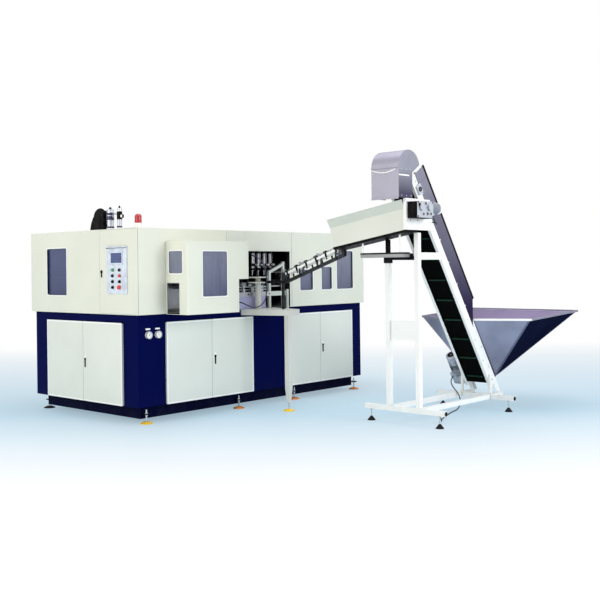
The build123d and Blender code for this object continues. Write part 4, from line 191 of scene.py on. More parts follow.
def edge_mask(tree, radius):
    """High along a solid's edges, where the rounded normal leaves the flat one."""
    rounded = new_node(tree, "Bevel", Radius=radius)
    rounded.samples = 4
    dot = new_node(tree, "VectorMath")
    dot.operation = "DOT_PRODUCT"
    feed(tree, rounded.outputs["Normal"], dot.inputs[0])
    feed(tree, new_node(tree, "NewGeometry").outputs["Normal"], dot.inputs[1])
    return span(tree, dot.outputs["Value"], 0.99, 0.8)


def corner_shade(tree, distance):
    """High in corners and seams, where painted shade darkens a colour."""
    node = new_node(tree, "AmbientOcclusion", Distance=distance)
    node.samples = 6
    return span(tree, node.outputs["AO"], 0.35, 0.85, 1.0, 0.0)


def bump(tree, shader, height, strength, distance=0.001):
    """Drives the shader's normal from a height."""
    node = new_node(tree, "Bump", Height=height, Strength=strength, Distance=distance)
    feed(tree, node.outputs["Normal"], shader.inputs["Normal"])


# Materials
def paint(name, color, rough=0.36, shade=0.94, wear=0.35, worn=None, shine=0.4, dust=0.16):
    """Powder coat: slow colour drift, dust low down, painted shade in corners and seams, rubbed edges, orange
    peel.
    """
    material, tree, shader = new_material(name)
    spot = coords(tree)
    drift = span(tree, noise(tree, spot, 1.7, 5), 0.35, 0.7)
    tint = mixed(tree, drift, color, scaled(color, shade))
    # Painted shade: darker in corners and seams.
    tint = mixed(tree, times(tree, corner_shade(tree, 0.03), 0.45), tint, scaled(color, 0.42))
    low = span(tree, place_of(tree)["Z"], 0.0, 0.35, dust, 0.0)
    low = times(tree, low, span(tree, noise(tree, spot, 9, 6), 0.3, 0.75))
    tint = mixed(tree, low, tint, (0.30, 0.28, 0.25))
    edge = times(tree, edge_mask(tree, 0.004), span(tree, noise(tree, spot, 26, 6), 0.42, 0.66))
    tint = mixed(tree, times(tree, edge, wear), tint, worn or scaled(color, 1.12, 0.05))
    gloss = span(tree, noise(tree, spot, 5, 6), 0.3, 0.75, rough - 0.06, rough + 0.1)
    put(tree, shader, Base_Color=tint, Roughness=gloss, Specular_IOR_Level=shine)
    bump(tree, shader, noise(tree, spot, 420, 2), 0.12, 0.0004)
    return material


def metal(name, color, rough=0.36, along=(1, 1, 30), turn=(0, 0, 0), depth=0.2, shade=0.9, stain=0.3,
          fade=None, rim=1.0):
    """Brushed metal: stretched grain, stains, smudges, painted shade in corners; fade gives two heights and
    an upper colour for painted shade low down.
    """
    material, tree, shader = new_material(name)
    grain = noise(tree, coords(tree, along, turn), 30, 8, 0.7)
    cloud = noise(tree, coords(tree), 2.3, 6)
    tint = mixed(tree, span(tree, grain, 0.35, 0.65), scaled(color, shade), color)
    if fade:
        # Painted shade: the base colour low down, turning to the lighter upper colour between the two
        # heights.
        tint = mixed(tree, span(tree, place_of(tree)["Z"], fade[0], fade[1]), tint, fade[2])
    smudge = times(tree, span(tree, cloud, 0.42, 0.68), stain)
    tint = mixed(tree, smudge, tint, scaled(color, 0.62))
    # Painted shade: darker in corners and seams.
    tint = mixed(tree, times(tree, corner_shade(tree, 0.02), 0.5), tint, scaled(color, 0.3))
    gloss = span(tree, cloud, 0.3, 0.7, rough, rough + 0.14)
    gloss = maths(tree, "ADD", span(tree, grain, 0.3, 0.7, -0.06, 0.08), gloss)
    put(tree, shader, Base_Color=tint, Roughness=gloss, Metallic=1.0, Specular_Tint=(rim, rim, rim))
    bump(tree, shader, grain, depth, 0.0004)
    return material


def plastic(name, color, rough=0.4, grain=180, depth=0.2, coat=0.0, shine=0.5):
    """Moulded plastic or rubber: pebbled skin, dusty edges and uneven gloss."""
    material, tree, shader = new_material(name)
    spot = coords(tree)
    drift = span(tree, noise(tree, spot, 14, 6), 0.35, 0.7)
    tint = mixed(tree, drift, color, scaled(color, 1.35, 0.012))
    tint = mixed(tree, times(tree, edge_mask(tree, 0.002), 0.3), tint, scaled(color, 1.6, 0.04))
    gloss = span(tree, noise(tree, spot, 30, 4), 0.3, 0.7, rough - 0.06, rough + 0.12)
    put(tree, shader, Base_Color=tint, Roughness=gloss, Coat_Weight=coat, Specular_IOR_Level=shine)
    bump(tree, shader, noise(tree, spot, grain, 3), depth, 0.0005)
    return material


def tinted_pane(name, shade=(1, 1, 1)):
    """Bluish tinted pane with faint streaks of dust and scratches, and painted shade low down."""
    material, tree, shader = new_material(name)
    streak = noise(tree, coords(tree, (3, 3, 0.6)), 5, 7, 0.6)
    scratch = noise(tree, coords(tree, (60, 60, 2), (0.4, 0.3, 0)), 6, 8, 0.75)
    deep, pale = (0.27, 0.29, 0.41), (0.39, 0.42, 0.55)
    deep, pale = (tuple(c * k for c, k in zip(tone, shade)) for tone in (deep, pale))
    tint = mixed(tree, span(tree, streak, 0.3, 0.75), deep, pale)
    # Painted shade: darker and bluer low down.
    low = span(tree, place_of(tree)["Z"], 1.33, 1.75, 0.55, 0.0)
    tint = mixed(tree, low, tint, (0.055, 0.07, 0.19))
    tint = mixed(tree, span(tree, scratch, 0.62, 0.78, 0, 0.18), tint, (0.50, 0.53, 0.62))
    gloss = span(tree, streak, 0.3, 0.7, 0.06, 0.22)
    put(tree, shader, Base_Color=tint, Roughness=gloss, Transmission_Weight=0.42, IOR=1.49)
    bump(tree, shader, streak, 0.05, 0.0006)
    return material


def screen_glass(name):
    """Operator screen: a blue panel with plain bordered fields."""
    material, tree, shader = new_material(name)
    place = place_of(tree)
    flat = new_node(tree, "CombineXYZ", X=place["Y"], Y=place["Z"])
    brick = new_node(tree, "TexBrick", Vector=flat.outputs[0], Scale=1.0, Mortar_Size=0.0012,
                     Brick_Width=0.046, Row_Height=0.0265, Color1=(0.012, 0.028, 0.15),
                     Color2=(0.02, 0.05, 0.22), Mortar=(0.05, 0.10, 0.30))
    brick.offset = 0.0
    haze = span(tree, noise(tree, coords(tree), 20, 5), 0.35, 0.7, 0.0, 0.25)
    tint = mixed(tree, haze, brick.outputs["Color"], (0.04, 0.07, 0.22))
    gloss = span(tree, noise(tree, coords(tree), 45, 3), 0.3, 0.7, 0.08, 0.2)
    put(tree, shader, Base_Color=tint, Roughness=gloss, Coat_Weight=0.6)
    return material


def lens_red(name):
    """Ribbed translucent red lens."""
    material, tree, shader = new_material(name)
    wave = new_node(tree, "TexWave", Vector=coords(tree), Scale=60)
    wave.bands_direction = "Z"
    rib = wave.outputs["Fac"]
    tint = mixed(tree, rib, (0.36, 0.002, 0.006), (0.66, 0.006, 0.012))
    put(tree, shader, Base_Color=tint, Roughness=0.14, Transmission_Weight=0.1, Coat_Weight=0.5)
    bump(tree, shader, rib, 0.5, 0.001)
    return material


def belt_skin(name):
    """Black belt: fine cross ribs, scuffs and dust."""
    material, tree, shader = new_material(name)
    rib = new_node(tree, "TexWave", Vector=coords(tree), Scale=55, Distortion=0.4)
    rib.bands_direction = "Z"
    scuff = noise(tree, coords(tree, (2, 14, 2)), 6, 8, 0.65)
    tint = mixed(tree, span(tree, scuff, 0.5, 0.8), (0.0008, 0.001, 0.001), (0.006, 0.007, 0.007))
    gloss = span(tree, scuff, 0.3, 0.7, 0.55, 0.8)
    put(tree, shader, Base_Color=tint, Roughness=gloss, Specular_IOR_Level=0.03)
    bump(tree, shader, rib.outputs["Fac"], 0.3, 0.0008)
    return material


ACROSS, TILTED, TILTED_BACK = (1, 30, 1), (0.3, 0.2, 0), (0.2, 0.3, 0)
# Painted shade on the skirts: dark low down, turning lighter between 1.2 m and 2.6 m.
SKIRT_SHADE_FADE = (1.2, 2.6, (0.33, 0.325, 0.41))
# Painted shade on the hood's near side: dark, turning lighter between 2.36 m and 2.62 m.
HOOD_SHADE_FADE = (2.36, 2.62, (0.38, 0.39, 0.46))
M = {
    "cream": paint("cream_paint", (0.765, 0.79, 0.69), shade=0.95),
    "leaf": paint("door_paint", (0.765, 0.80, 0.735)),
    "edge_white": paint("edge_white", (0.94, 0.955, 0.935), 0.32, 0.97),
    "white": paint("white_paint", (0.76, 0.785, 0.71), shade=0.95),
    "grey_white": paint("grey_white_paint", (0.62, 0.67, 0.61), 0.38),
    "navy": paint("navy_paint", (0.0004, 0.0026, 0.058), 0.36, 0.88, 0.25, (0.01, 0.02, 0.12), 0.02, 0.02),
    "navy_low": paint("plinth_paint", (0.0004, 0.0016, 0.024), 0.44, 0.8, 0.25, (0.01, 0.015, 0.07),
                      0.02, 0.03),
    # Painted shade: near-black for faces inside the rooms, where shade falls.
    "inner": paint("inner_painted_shade", (0.012, 0.013, 0.018), 0.5, 0.85, 0.2, (0.05, 0.05, 0.06), 0.12, 0.05),
    "bed_white": paint("table_paint", (0.70, 0.71, 0.66)),
    "guard": paint("guard_lavender", (0.42, 0.43, 0.66), 0.3, 0.8),
    "blue_grey": paint("machine_grey", (0.16, 0.20, 0.27), 0.42, 0.9),
    "hopper": metal("hopper_steel", (0.42, 0.42, 0.55), 0.34, turn=TILTED, shade=0.86, stain=0.75),
    # Painted shade: the hopper's far-right side and its purplish inside take darker copies of its steel.
    "hopper_far_shade": metal("hopper_shaded_steel", (0.035, 0.042, 0.10), 0.36, ACROSS, TILTED_BACK,
                         shade=0.8, stain=0.4, rim=0.2),
    "hopper_in": metal("hopper_inner_painted_shade", (0.24, 0.20, 0.33), 0.34, ACROSS, TILTED_BACK,
                       shade=0.8, stain=0.4),
    # Painted shade: the skirts' steel is dark low down and lighter higher up.
    "skirt": metal("skirt_shaded_steel", (0.05, 0.04, 0.105), 0.32, ACROSS, shade=0.86, fade=SKIRT_SHADE_FADE, rim=0.5),
    "hood": metal("hood_steel", (0.37, 0.36, 0.44)),
    # Painted shade: a dark copy of the hood's steel for its near side.
    "hood_side": metal("hood_side_painted_shade", (0.10, 0.095, 0.15), fade=HOOD_SHADE_FADE, rim=0.45),
    "seam": metal("seam_steel", (0.20, 0.21, 0.30), 0.4, (1, 1, 14), depth=0.25, shade=0.75),
    "rim": metal("rim_steel", (0.42, 0.41, 0.52), 0.36, (1, 1, 14), shade=0.86, rim=0.5),
    "tray": metal("tray_steel", (0.36, 0.37, 0.38), 0.4, (30, 1, 1)),
    "steel": metal("machined_steel", (0.58, 0.59, 0.62), 0.26, (1, 1, 12), depth=0.25, shade=0.75),
    "chrome": metal("ground_steel", (0.74, 0.75, 0.78), 0.14, (1, 1, 20), depth=0.1, shade=0.75),
    "dark_steel": metal("blackened_steel", (0.06, 0.062, 0.07), 0.36, (1, 1, 14), depth=0.25, shade=0.75),
    "alloy": metal("cast_alloy", (0.60, 0.63, 0.70), 0.38, (6, 6, 6), depth=0.5, shade=0.86),
    "black": plastic("black_plastic", (0.001, 0.001, 0.0015), 0.45, shine=0.06),
    "rubber": plastic("black_rubber", (0.004, 0.004, 0.0045), 0.6, 120, 0.35, shine=0.15),
    "sheath": plastic("cable_sheath", (0.004, 0.004, 0.006), 0.42, 260, 0.15, shine=0.2),
    "hose": plastic("hose_blue", (0.012, 0.016, 0.075), 0.26, 220, 0.08, 0.3),
    "yellow": plastic("pad_yellow", (0.80, 0.50, 0.03), 0.45, 90, 0.3),
    "orange": plastic("pad_orange", (0.78, 0.27, 0.06), 0.45, 90, 0.3),
    "green": plastic("push_green", (0.02, 0.30, 0.10), 0.25, 200, 0.05, 0.5),
    "red": plastic("push_red", (0.60, 0.012, 0.015), 0.25, 200, 0.05, 0.5),
    "cleat": plastic("cleat_green", (0.004, 0.04, 0.02), 0.45, 160, 0.25, shine=0.2),
    "dial": plastic("dial_white", (0.86, 0.87, 0.86), 0.3, 200, 0.03, 0.6),
    "console": plastic("console_pale", (0.56, 0.62, 0.71), 0.4, 240, 0.1),
    "base_white": plastic("beacon_white", (0.84, 0.83, 0.82), 0.35, 200, 0.08),
    "lamp": plastic("lamp_quartz", (0.75, 0.62, 0.45), 0.15, 100, 0.05, 0.8),
    "pane": tinted_pane("tinted_glass"),
    # Painted shade: the end pane is a darker, bluer copy of the glass.
    "pane_end": tinted_pane("tinted_glass_end_painted_shade", (0.22, 0.29, 0.55)),
    "screen": screen_glass("screen_glass"),
    "lens": lens_red("beacon_lens"),
    "belt": belt_skin("belt_rubber"),
}


# CAD nodes get their materials, by solid and by face
def islands(mesh):
    """Groups of faces that share corner places, as lists of face numbers."""
    places = [tuple(round(c, 5) for c in v.co) for v in mesh.vertices]
    owner = {place: place for place in places}

    def root(place):
        while owner[place] != place:
            owner[place] = owner[owner[place]]
            place = owner[place]
        return place

    for face in mesh.polygons:
        first = root(places[face.vertices[0]])
        for v in face.vertices[1:]:
            owner[root(places[v])] = first
    groups = {}
    for face in mesh.polygons:
        groups.setdefault(root(places[face.vertices[0]]), []).append(face.index)
    return groups.values()


def dress(name, *keys, by_solid=None, by_face=None):
    """Gives a CAD node its materials; a rule says which of the keys a solid or a face takes."""
    mesh = nodes[name].data
    mesh.materials.clear()
    for key in keys:
        mesh.materials.append(M[key])
    if by_solid:
        for group in islands(mesh):
            corners = [mesh.vertices[v].co for k in group for v in mesh.polygons[k].vertices]
            low = Vector(min(c[axis] for c in corners) for axis in (X, Y, Z))
            high = Vector(max(c[axis] for c in corners) for axis in (X, Y, Z))
            for k in group:
                mesh.polygons[k].material_index = by_solid(low, high)
    for face in mesh.polygons:
        choice = by_face(face.center, face.normal) if by_face else None
        if choice is not None:
            face.material_index = choice
        elif not by_solid and not by_face:
            face.material_index = 0


def over(axis, limit):
    """A rule that gives the second material to faces past a limit along an axis."""
    return lambda c, n: int(c[axis] > limit)


def under(axis, limit):
    """A rule that gives the second material to faces short of a limit along an axis."""
    return lambda c, n: int(c[axis] < limit)


def looks_in(c, n, middle):
    """Whether a face of a thin sheet looks towards the middle of the room that it closes."""
    return n.dot(middle - c) > 0


def rise_off(point):
    """How far a point stands off the conveyor's middle plane."""
    return (Vector(point) - FOOT).dot(OFF)


def frame_solid(low, high):
    """Sills stay white, the roof sheet is cream, and the posts inside take painted shade."""
    if high.z < 1.22:
        return 0
    return 1 if high.x - low.x > 1 and high.y - low.y > 1 else 2


def header_face(c, n):
    """The headers' outer faces are cream, as the panels beside them."""
    return 1 if c.y < -0.07 and n.y < -0.9 and c.z > 1.22 else None


def upper_face(c, n):
    """White trims, painted shade on inner faces, cream outside."""
    if c.y < FACE_Y - 0.0004 or c.x < END_X - 0.0004:
        return 1
    return 2 if looks_in(c, n, ROOM_MIDDLE) and max(abs(n.x), abs(n.y)) > 0.9 else 0


def bay_face(c, n):
    """White trims, painted shade on inner faces, cream outside."""
    if c.y < BAY_FRONT - 0.0004 or c.x < 0.2146 or c.z < 1.1455:
        return 1
    return 2 if looks_in(c, n, BAY_MIDDLE) else 0


def foot_solid(low, high):
    """Yellow at the near corner and the table, orange along the front, dark at the back."""
    if low.y > 1:
        return 2
    return 0 if low.x < 0.2 or low.y < -0.3 else 1


def foot_face(c, n):
    """Chrome on the studs and lock nuts."""
    feet_x, feet_y = (0, 1.348, 2.298, 3.472, 1.565), (0, 1.83, -0.595)
    near = min((c.x - x) ** 2 + (c.y - y) ** 2 for x in feet_x for y in feet_y)
    return 3 if c.z > 0.023 or near < 0.0002 else None


def roof_solid(low, high):
    """White beacon, black pipe, and vessels of alloy."""
    if high.y < 0.2:
        return 1
    return 3 if high.y - low.y > 0.15 else 0


def roof_face(c, n):
    """The beacon's red lens, and a black band on the nearer vessel."""
    if c.y < 0.2:
        return 2 if c.z > 2.116 else None
    return 3 if c.y < 0.92 and 2.2 < c.z < 2.28 and abs(n.z) < 0.5 else None


def infeed_face(c, n):
    """Lavender low on the guard sheet, and steel over it."""
    if c.z < 1.75 and c.y < -0.0405 and 1.2 < c.x < 1.8:
        return 3 if c.z < 1.291 else 0
    return None


def lamp_face(c, n):
    """The lamps inside the oven's housings."""
    return int(1.49 < c.z < 1.685 and not 0.1245 <= c.y <= 0.2455 and 2.287 < c.x < 3.183)


def base_solid(low, high):
    """White tubes, and black glands and pads."""
    return int(high.x - low.x < 0.12 and (high.z - low.z > 0.09 or high.y - low.y < 0.02))


def base_face(c, n):
    """Chrome on the feet's studs."""
    return 2 if 0.0452 < c.z < 0.1248 and abs(n.z) < 0.999 else None


def conveyor_face(c, n):
    """Black upper edges, and skirts of steel in painted shade between the white channels."""
    if rise_off(c) > 0.1872:
        return 1
    return 2 if rise_off(c) > 0.066 and abs(c.y - MID_Y) < 0.1675 else 0


def hopper_face(c, n):
    """Pale near side, painted shade on the far-right side, purplish painted shade inside, and a rim that is
    white over the near side.
    """
    if c.z > 1.01:
        return 3 if c.x < 3.05 and c.y < MID_Y else 4
    if looks_in(c, n, HOPPER_MIDDLE):
        return 2
    return 0 if n.x < -0.2 else 1


def trough_face(c, n):
    """A white upper edge on the near side, and greyish painted shade on faces that lean to the left."""
    if c.y < -2.3012 and c.z > 1.9925:
        return 3
    # Painted shade: faces that lean to the left take the grey-white paint.
    return 2 if abs(n.z) > 0.1 and n.x < -0.2 else None


def rail_face(c, n):
    """Steel over the chute's channel, which climbs away from the cabinet."""
    return int(c.z > 1.55 + max(0.0, -0.565 - c.y) * 0.3414)


PLAIN = {
    "leaf": ("front_door_1_left", "front_door_2_left", "end_door_far"),
    "navy": ("cabinet_skins",),
    "navy_low": ("plinth",),
    "cream": ("control_door",),
    "black": ("front_latch_1", "front_latch_2", "end_latch", "control_latch"),
    "edge_white": ("pressure_gauges",),
    "bed_white": ("infeed_table",),
    "alloy": ("chain_wheel_1", "chain_wheel_2", "mould_near", "mould_far", "belt_motor", "orienter_motor"),
    "steel": ("stretch_carriage", "foot_drum", "head_drum"),
    "chrome": ("orienter_roller_1", "orienter_roller_2"),
}
for key, names in PLAIN.items():
    for name in names:
        dress(name, key)
for name in ("front_door_1_right", "front_door_2_right"):
    dress(name, "leaf", "edge_white", by_face=under(Y, FRONT_LEAF - 0.0002))
dress("end_door_near", "leaf", "edge_white", by_face=under(X, END_LEAF - 0.0002))
for name, key in (("green_push", "green"), ("red_push", "red"), ("stop_push", "red")):
    dress(name, key, "steel", by_face=over(X, -0.1925))
for name in ("black_push_1", "black_push_2", "selector_1", "selector_2", "selector_3"):
    dress(name, "black", "steel", by_face=over(X, -0.186))
# Painted shade: the cabinet frame below its deck takes the near-black inner material; its deck top is
# grey-white.
dress("cabinet_frame", "inner", "grey_white", by_face=over(Z, 1.149))
# Painted shade: the posts inside and the inner faces of the panels and the bay take the near-black inner
# material.
dress("enclosure_frame", "edge_white", "cream", "inner", by_solid=frame_solid, by_face=header_face)
dress("enclosure_panels", "cream", "edge_white", "inner", by_face=upper_face)
dress("bay_cover", "cream", "edge_white", "inner", by_face=bay_face)
# Painted shade: the end panes take the darker copy of the glass.
dress("window_panes", "pane", "pane_end", by_face=under(X, -0.12))
dress("control_console", "console", "screen", by_solid=lambda low, high: int(high.x - low.x < 0.006))
dress("levelling_feet", "yellow", "orange", "rubber", "chrome", by_solid=foot_solid, by_face=foot_face)
dress("roof_fittings", "alloy", "base_white", "lens", "black", by_solid=roof_solid, by_face=roof_face)
dress("infeed_frame", "steel", "grey_white", "alloy", "guard",
      by_solid=lambda low, high: int(high.z < 1.75), by_face=infeed_face)
dress("star_wheel", "white", "steel", by_face=under(Z, 1.449))
dress("chain_track", "steel", "dark_steel", by_face=over(Z, 1.4125))
dress("heating_oven", "hood", "lamp", by_face=lamp_face)
dress("mould_frame", "steel", "grey_white", by_face=under(Z, 1.1805))
dress("cabinet_equipment", "blue_grey", "grey_white", by_solid=lambda low, high: int(low.x > 1.9))
dress("elevator_base", "edge_white", "rubber", "chrome", by_solid=base_solid, by_face=base_face)
dress("elevator_frame", "edge_white", "black",
      by_solid=lambda low, high: int(low.z > 1.6 and high.z > 1.75 and high.y - low.y < 0.1))
dress("catch_tray", "tray", "edge_white", by_face=over(Z, 1.775))
dress("conveyor_frame", "edge_white", "black", "skirt", by_face=conveyor_face)
dress("conveyor_belt", "belt", "cleat", by_solid=lambda low, high: int(high.z - low.z < 0.1))
# Painted shade: the hood's near side takes the dark copy of its steel.
dress("head_hood", "hood", "hood_side", by_face=lambda c, n: int(n.y < -0.9 and c.y < MID_Y - 0.16))
dress("feed_hopper", "hopper", "hopper_far_shade", "hopper_in", "edge_white", "rim", by_face=hopper_face)
dress("orienter_trough", "white", "black", "grey_white", "edge_white",
      by_solid=lambda low, high: int(high.x - low.x < 0.23), by_face=trough_face)
dress("preform_rail", "dark_steel", "steel", by_face=rail_face)


# Cords: the tubes' own routes, in metres
def tube(name, node, points, diameter, key):
    """A round cord along a smooth curve through a route's points, in place of its CAD node."""
    curve = bpy.data.curves.new(name, "CURVE")
    curve.dimensions = "3D"
    curve.bevel_depth = diameter / 2
    curve.bevel_resolution = 5
    spline = curve.splines.new("NURBS")
    spline.points.add(len(points) - 1)
    for point, place in zip(spline.points, points):
        point.co = (*place, 1)
    spline.order_u = 3
    spline.use_endpoint_u = True
    spline.resolution_u = 10
    curve.materials.append(M[key])
    obj = bpy.data.objects.new(name, curve)
    bpy.context.scene.collection.objects.link(obj)
    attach(obj, "machine")
    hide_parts(node)
    return obj


def slope_place(along, off, y):
    """A place along the conveyor, off its middle plane and across it."""
    place = FOOT + ALONG * along + OFF * off
    return Vector((place.x, y, place.z))


def cab(*places):
    """Places given on the cabinet's own axes, in millimetres."""
    return [Vector((CAB_X + x / 1000, CAB_Y + y / 1000, z / 1000)) for x, y, z in places]


MOTOR_Y = MID_Y + CHANNEL_HALF + 0.026 + 0.063
belt_route = [
    slope_place(0.095, -0.114, MOTOR_Y), slope_place(0.095, -0.174, MOTOR_Y),
    *cab((3030, -1862, 258), (3028, -1914, 206), (3030, -1962, 148), (3014, -1990, 86),
         (2964, -2006, 34), (2890, -2020, 7), (2780, -2046, 7), (2650, -2086, 7),
         (2515, -2134, 7), (2380, -2186, 7), (2265, -2236, 7), (2175, -2285, 8),
         (2101, -2333, 14), (2035, -2379, 32), (1977, -2413, 62), (1927, -2427, 98),
         (1889, -2409, 127), (1865, -2378, 143), (1856, -2343, 150), (1856, -2313, 150)),
]
belt_cable = tube("belt_cable", "belt_motor_cable", belt_route, 0.012, "sheath")

orienter_route = cab(
    (1970, -2354, 2146), (1970, -2354, 2116), (1984, -2357, 2083), (2013, -2352, 2060),
    (2047, -2340, 2055), (2076, -2319, 2067), (2089, -2286.3, 2078), (2090, -2256.3, 2078),
)
orienter_cable = tube("orienter_cable", "orienter_motor_cable", orienter_route, 0.010, "sheath")

hose_route = cab(
    (1440, -14, 1235), (1440, -58, 1235), (1462, -124, 1204), (1516, -176, 1172), (1578, -214, 1180),
    (1634, -236, 1226), (1662, -246, 1300), (1668, -250, 1396), (1669, -250, 1500), (1656, -244, 1596),
    (1644, -218, 1684), (1642, -150, 1744), (1646, -68, 1768), (1656, 14, 1790), (1670, 92, 1850),
    (1670, 166, 1850),
)
hose = tube("infeed_hose", "front_hose", hose_route, 0.014, "hose")


# Mesh shop: shaped bodies gathered into one piece
TO_FRONT, TO_LEFT, TO_RIGHT, UPWARD = (0, -1, 0), (-1, 0, 0), (1, 0, 0), (0, 0, 1)
SQUARE = ((-1, -1), (1, -1), (1, 1), (-1, 1))


def circle(middle, side, other, radius, count):
    """Places round a circle that two directions span."""
    angles = [math.tau * k / count for k in range(count)]
    return [middle + (side * math.cos(angle) + other * math.sin(angle)) * radius for angle in angles]


def skin(rows, count, closed=False):
    """Faces between rows of places, with capped ends unless the last row joins the first."""
    faces = []
    for i in range(rows if closed else rows - 1):
        here, there = i * count, (i + 1) % rows * count
        for k in range(count):
            after = (k + 1) % count
            faces.append((here + k, here + after, there + after, there + k))
    if not closed:
        faces += [tuple(range(count)), tuple(range((rows - 1) * count, rows * count))]
    return faces


class Shop:
    """Gathers shaped bodies into one mesh piece that rides on a CAD body."""

    def __init__(self, name, slot, body="machine"):
        self.name, self.slot, self.body = name, slot, body
        self.points, self.faces, self.marks, self.keys = [], [], [], []

    def add(self, points, faces, key):
        """Takes in a body's corners and faces, with one material."""
        if key not in self.keys:
            self.keys.append(key)
        base = len(self.points)
        self.points += [Vector(p) for p in points]
        self.faces += [[base + k for k in face] for face in faces]
        self.marks += [self.keys.index(key)] * len(faces)

    def block(self, low, high, key, edge=0.0015, frame=None):
        """A box with chamfered edges and corners, on the row's axes or on a frame's."""
        middle = [(a + b) / 2 for a, b in zip(low, high)]
        half = [abs(b - a) / 2 for a, b in zip(low, high)]
        edge = min(edge, min(half) * 0.8)
        place, points, faces = {}, [], []
        for sign in itertools.product((-1, 1), repeat=3):
            for axis in (X, Y, Z):
                place[sign, axis] = len(points)
                points.append([middle[k] + sign[k] * (half[k] - (k != axis) * edge) for k in (X, Y, Z)])
            faces.append([place[sign, axis] for axis in (X, Y, Z)])
        for axis in (X, Y, Z):
            first, second = [k for k in (X, Y, Z) if k != axis]

            def corner(end, a, b, on):
                """The point of a corner of the box that lies on one of its faces."""
                sign = [0, 0, 0]
                sign[axis], sign[first], sign[second] = end, a, b
                return place[tuple(sign), on]

            for end in (-1, 1):
                faces.append([corner(end, a, b, axis) for a, b in SQUARE])
            bevel = ((-1, first), (1, first), (1, second), (-1, second))
            for a, b in SQUARE:
                faces.append([corner(end, a, b, on) for end, on in bevel])
        if frame:
            points = [frame @ Vector(p) for p in points]
        self.add(points, faces, key)

    def lathe(self, start, axis, profile, key, count=20, closed=False):
        """A turned body: steps along an axis, each a distance and a radius; closed makes a ring."""
        axis = Vector(axis).normalized()
        side = axis.orthogonal().normalized()
        other = axis.cross(side)
        points = []
        for along, radius in profile:
            points += circle(Vector(start) + axis * along, side, other, radius, count)
        self.add(points, skin(len(profile), count, closed), key)

    def ring(self, start, axis, inner, outer, thick, key, count=24, edge=0.0006):
        """A flat ring with eased corners, from a start along an axis."""
        rim = [(0, outer - edge), (edge, outer), (thick - edge, outer), (thick, outer - edge)]
        self.lathe(start, axis, [(0, inner), *rim, (thick, inner)], key, count, True)

    def bolt(self, place, axis, radius):
        """A hexagonal bolt head on its washer, standing along an axis."""
        washer = [(0, radius * 1.5), (radius * 0.3, radius * 1.5), (radius * 0.34, radius * 1.4)]
        head = [(radius * 0.3, radius), (radius * 0.95, radius), (radius * 1.1, radius * 0.8)]
        self.lathe(place, axis, washer, "dark_steel", 12)
        self.lathe(place, axis, head, "dark_steel", 6)

    def dome(self, place, axis, radius, count=10):
        """A low domed screw head."""
        steps = ((0, 1), (0.25, 0.95), (0.45, 0.6), (0.5, 0.15))
        self.lathe(place, axis, [(radius * along, radius * share) for along, share in steps], "chrome", count)

    def domes(self, xs, ys, zs, axis, radius):
        """A screw head at every crossing of three sets of places."""
        for place in itertools.product(xs, ys, zs):
            self.dome(place, axis, radius)

    def prism(self, outline, depth, key, edge=0.001):
        """An outline pushed along a vector, with eased rims."""
        outline = [Vector(p) for p in outline]
        depth = Vector(depth)
        middle = sum(outline, Vector()) / len(outline)
        step = depth.normalized() * edge
        inset = [p + (middle - p).normalized() * edge for p in outline]
        low, high = [p + step for p in outline], [p + depth - step for p in outline]
        self.add(inset + low + high + [p + depth for p in inset], skin(4, len(outline)), key)

    def pipe(self, route, radius, key, count=12):
        """A round bar or duct along a route of places."""
        route = [Vector(p) for p in route]
        side = (route[1] - route[0]).orthogonal().normalized()
        points = []
        for k, place in enumerate(route):
            ahead = (route[min(k + 1, len(route) - 1)] - route[max(k - 1, 0)]).normalized()
            side = (side - ahead * side.dot(ahead)).normalized()
            points += circle(place, side, ahead.cross(side), radius, count)
        self.add(points, skin(len(route), count), key)

    def build(self):
        """Makes the object and rides it on its body."""
        mesh = bpy.data.meshes.new(self.name)
        mesh.from_pydata(self.points, [], self.faces)
        for face, mark in zip(mesh.polygons, self.marks):
            face.material_index = mark
            face.use_smooth = True
        for key in self.keys:
            mesh.materials.append(M[key])
        work = bmesh.new()
        work.from_mesh(mesh)
        bmesh.ops.recalc_face_normals(work, faces=work.faces)
        work.to_mesh(mesh)
        work.free()
        mesh.set_sharp_from_angle(angle=math.radians(32))
        obj = bpy.data.objects.new(self.name, mesh)
        bpy.context.scene.collection.objects.link(obj)
        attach(obj, self.body)


def door_edges(name, front, outer_high):
    """White folded edges on a leaf's outer side, head and foot."""
    low, high = (Vector(corner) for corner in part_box(name))
    axis, face = (X, FRONT_LEAF) if front else (Y, END_LEAF)
    wide, proud, inset = 0.019, 0.0028, 0.0008
    start, end = low[axis] + inset, high[axis] - inset
    foot, head = low.z + inset, high.z - inset
    side = (end - wide, end) if outer_high else (start, start + wide)
    shop = Shop(name + "_edges", "white_paint", name)
    for run, rise in (
        ((start, end), (foot, foot + wide)),
        ((start, end), (head - wide, head)),
        (side, (foot + wide, head - wide)),
    ):
        spans = (run, (face - proud, face), rise) if front else ((face - proud, face), run, rise)
        shop.block(*zip(*spans), "edge_white", 0.001)
    shop.build()


for leaf_name, front, outer_high in (
    ("front_door_1_left", True, False), ("front_door_1_right", True, True),
    ("front_door_2_left", True, False), ("front_door_2_right", True, True),
    ("end_door_near", False, False), ("end_door_far", False, True),
):
    door_edges(leaf_name, front, outer_high)

# Pressure gauges: bezel, dial, graduations, pointer, and a bare plate over each
gauges = Shop("gauge_faces", "steel")
MARKS, SWEEP = 24, 270


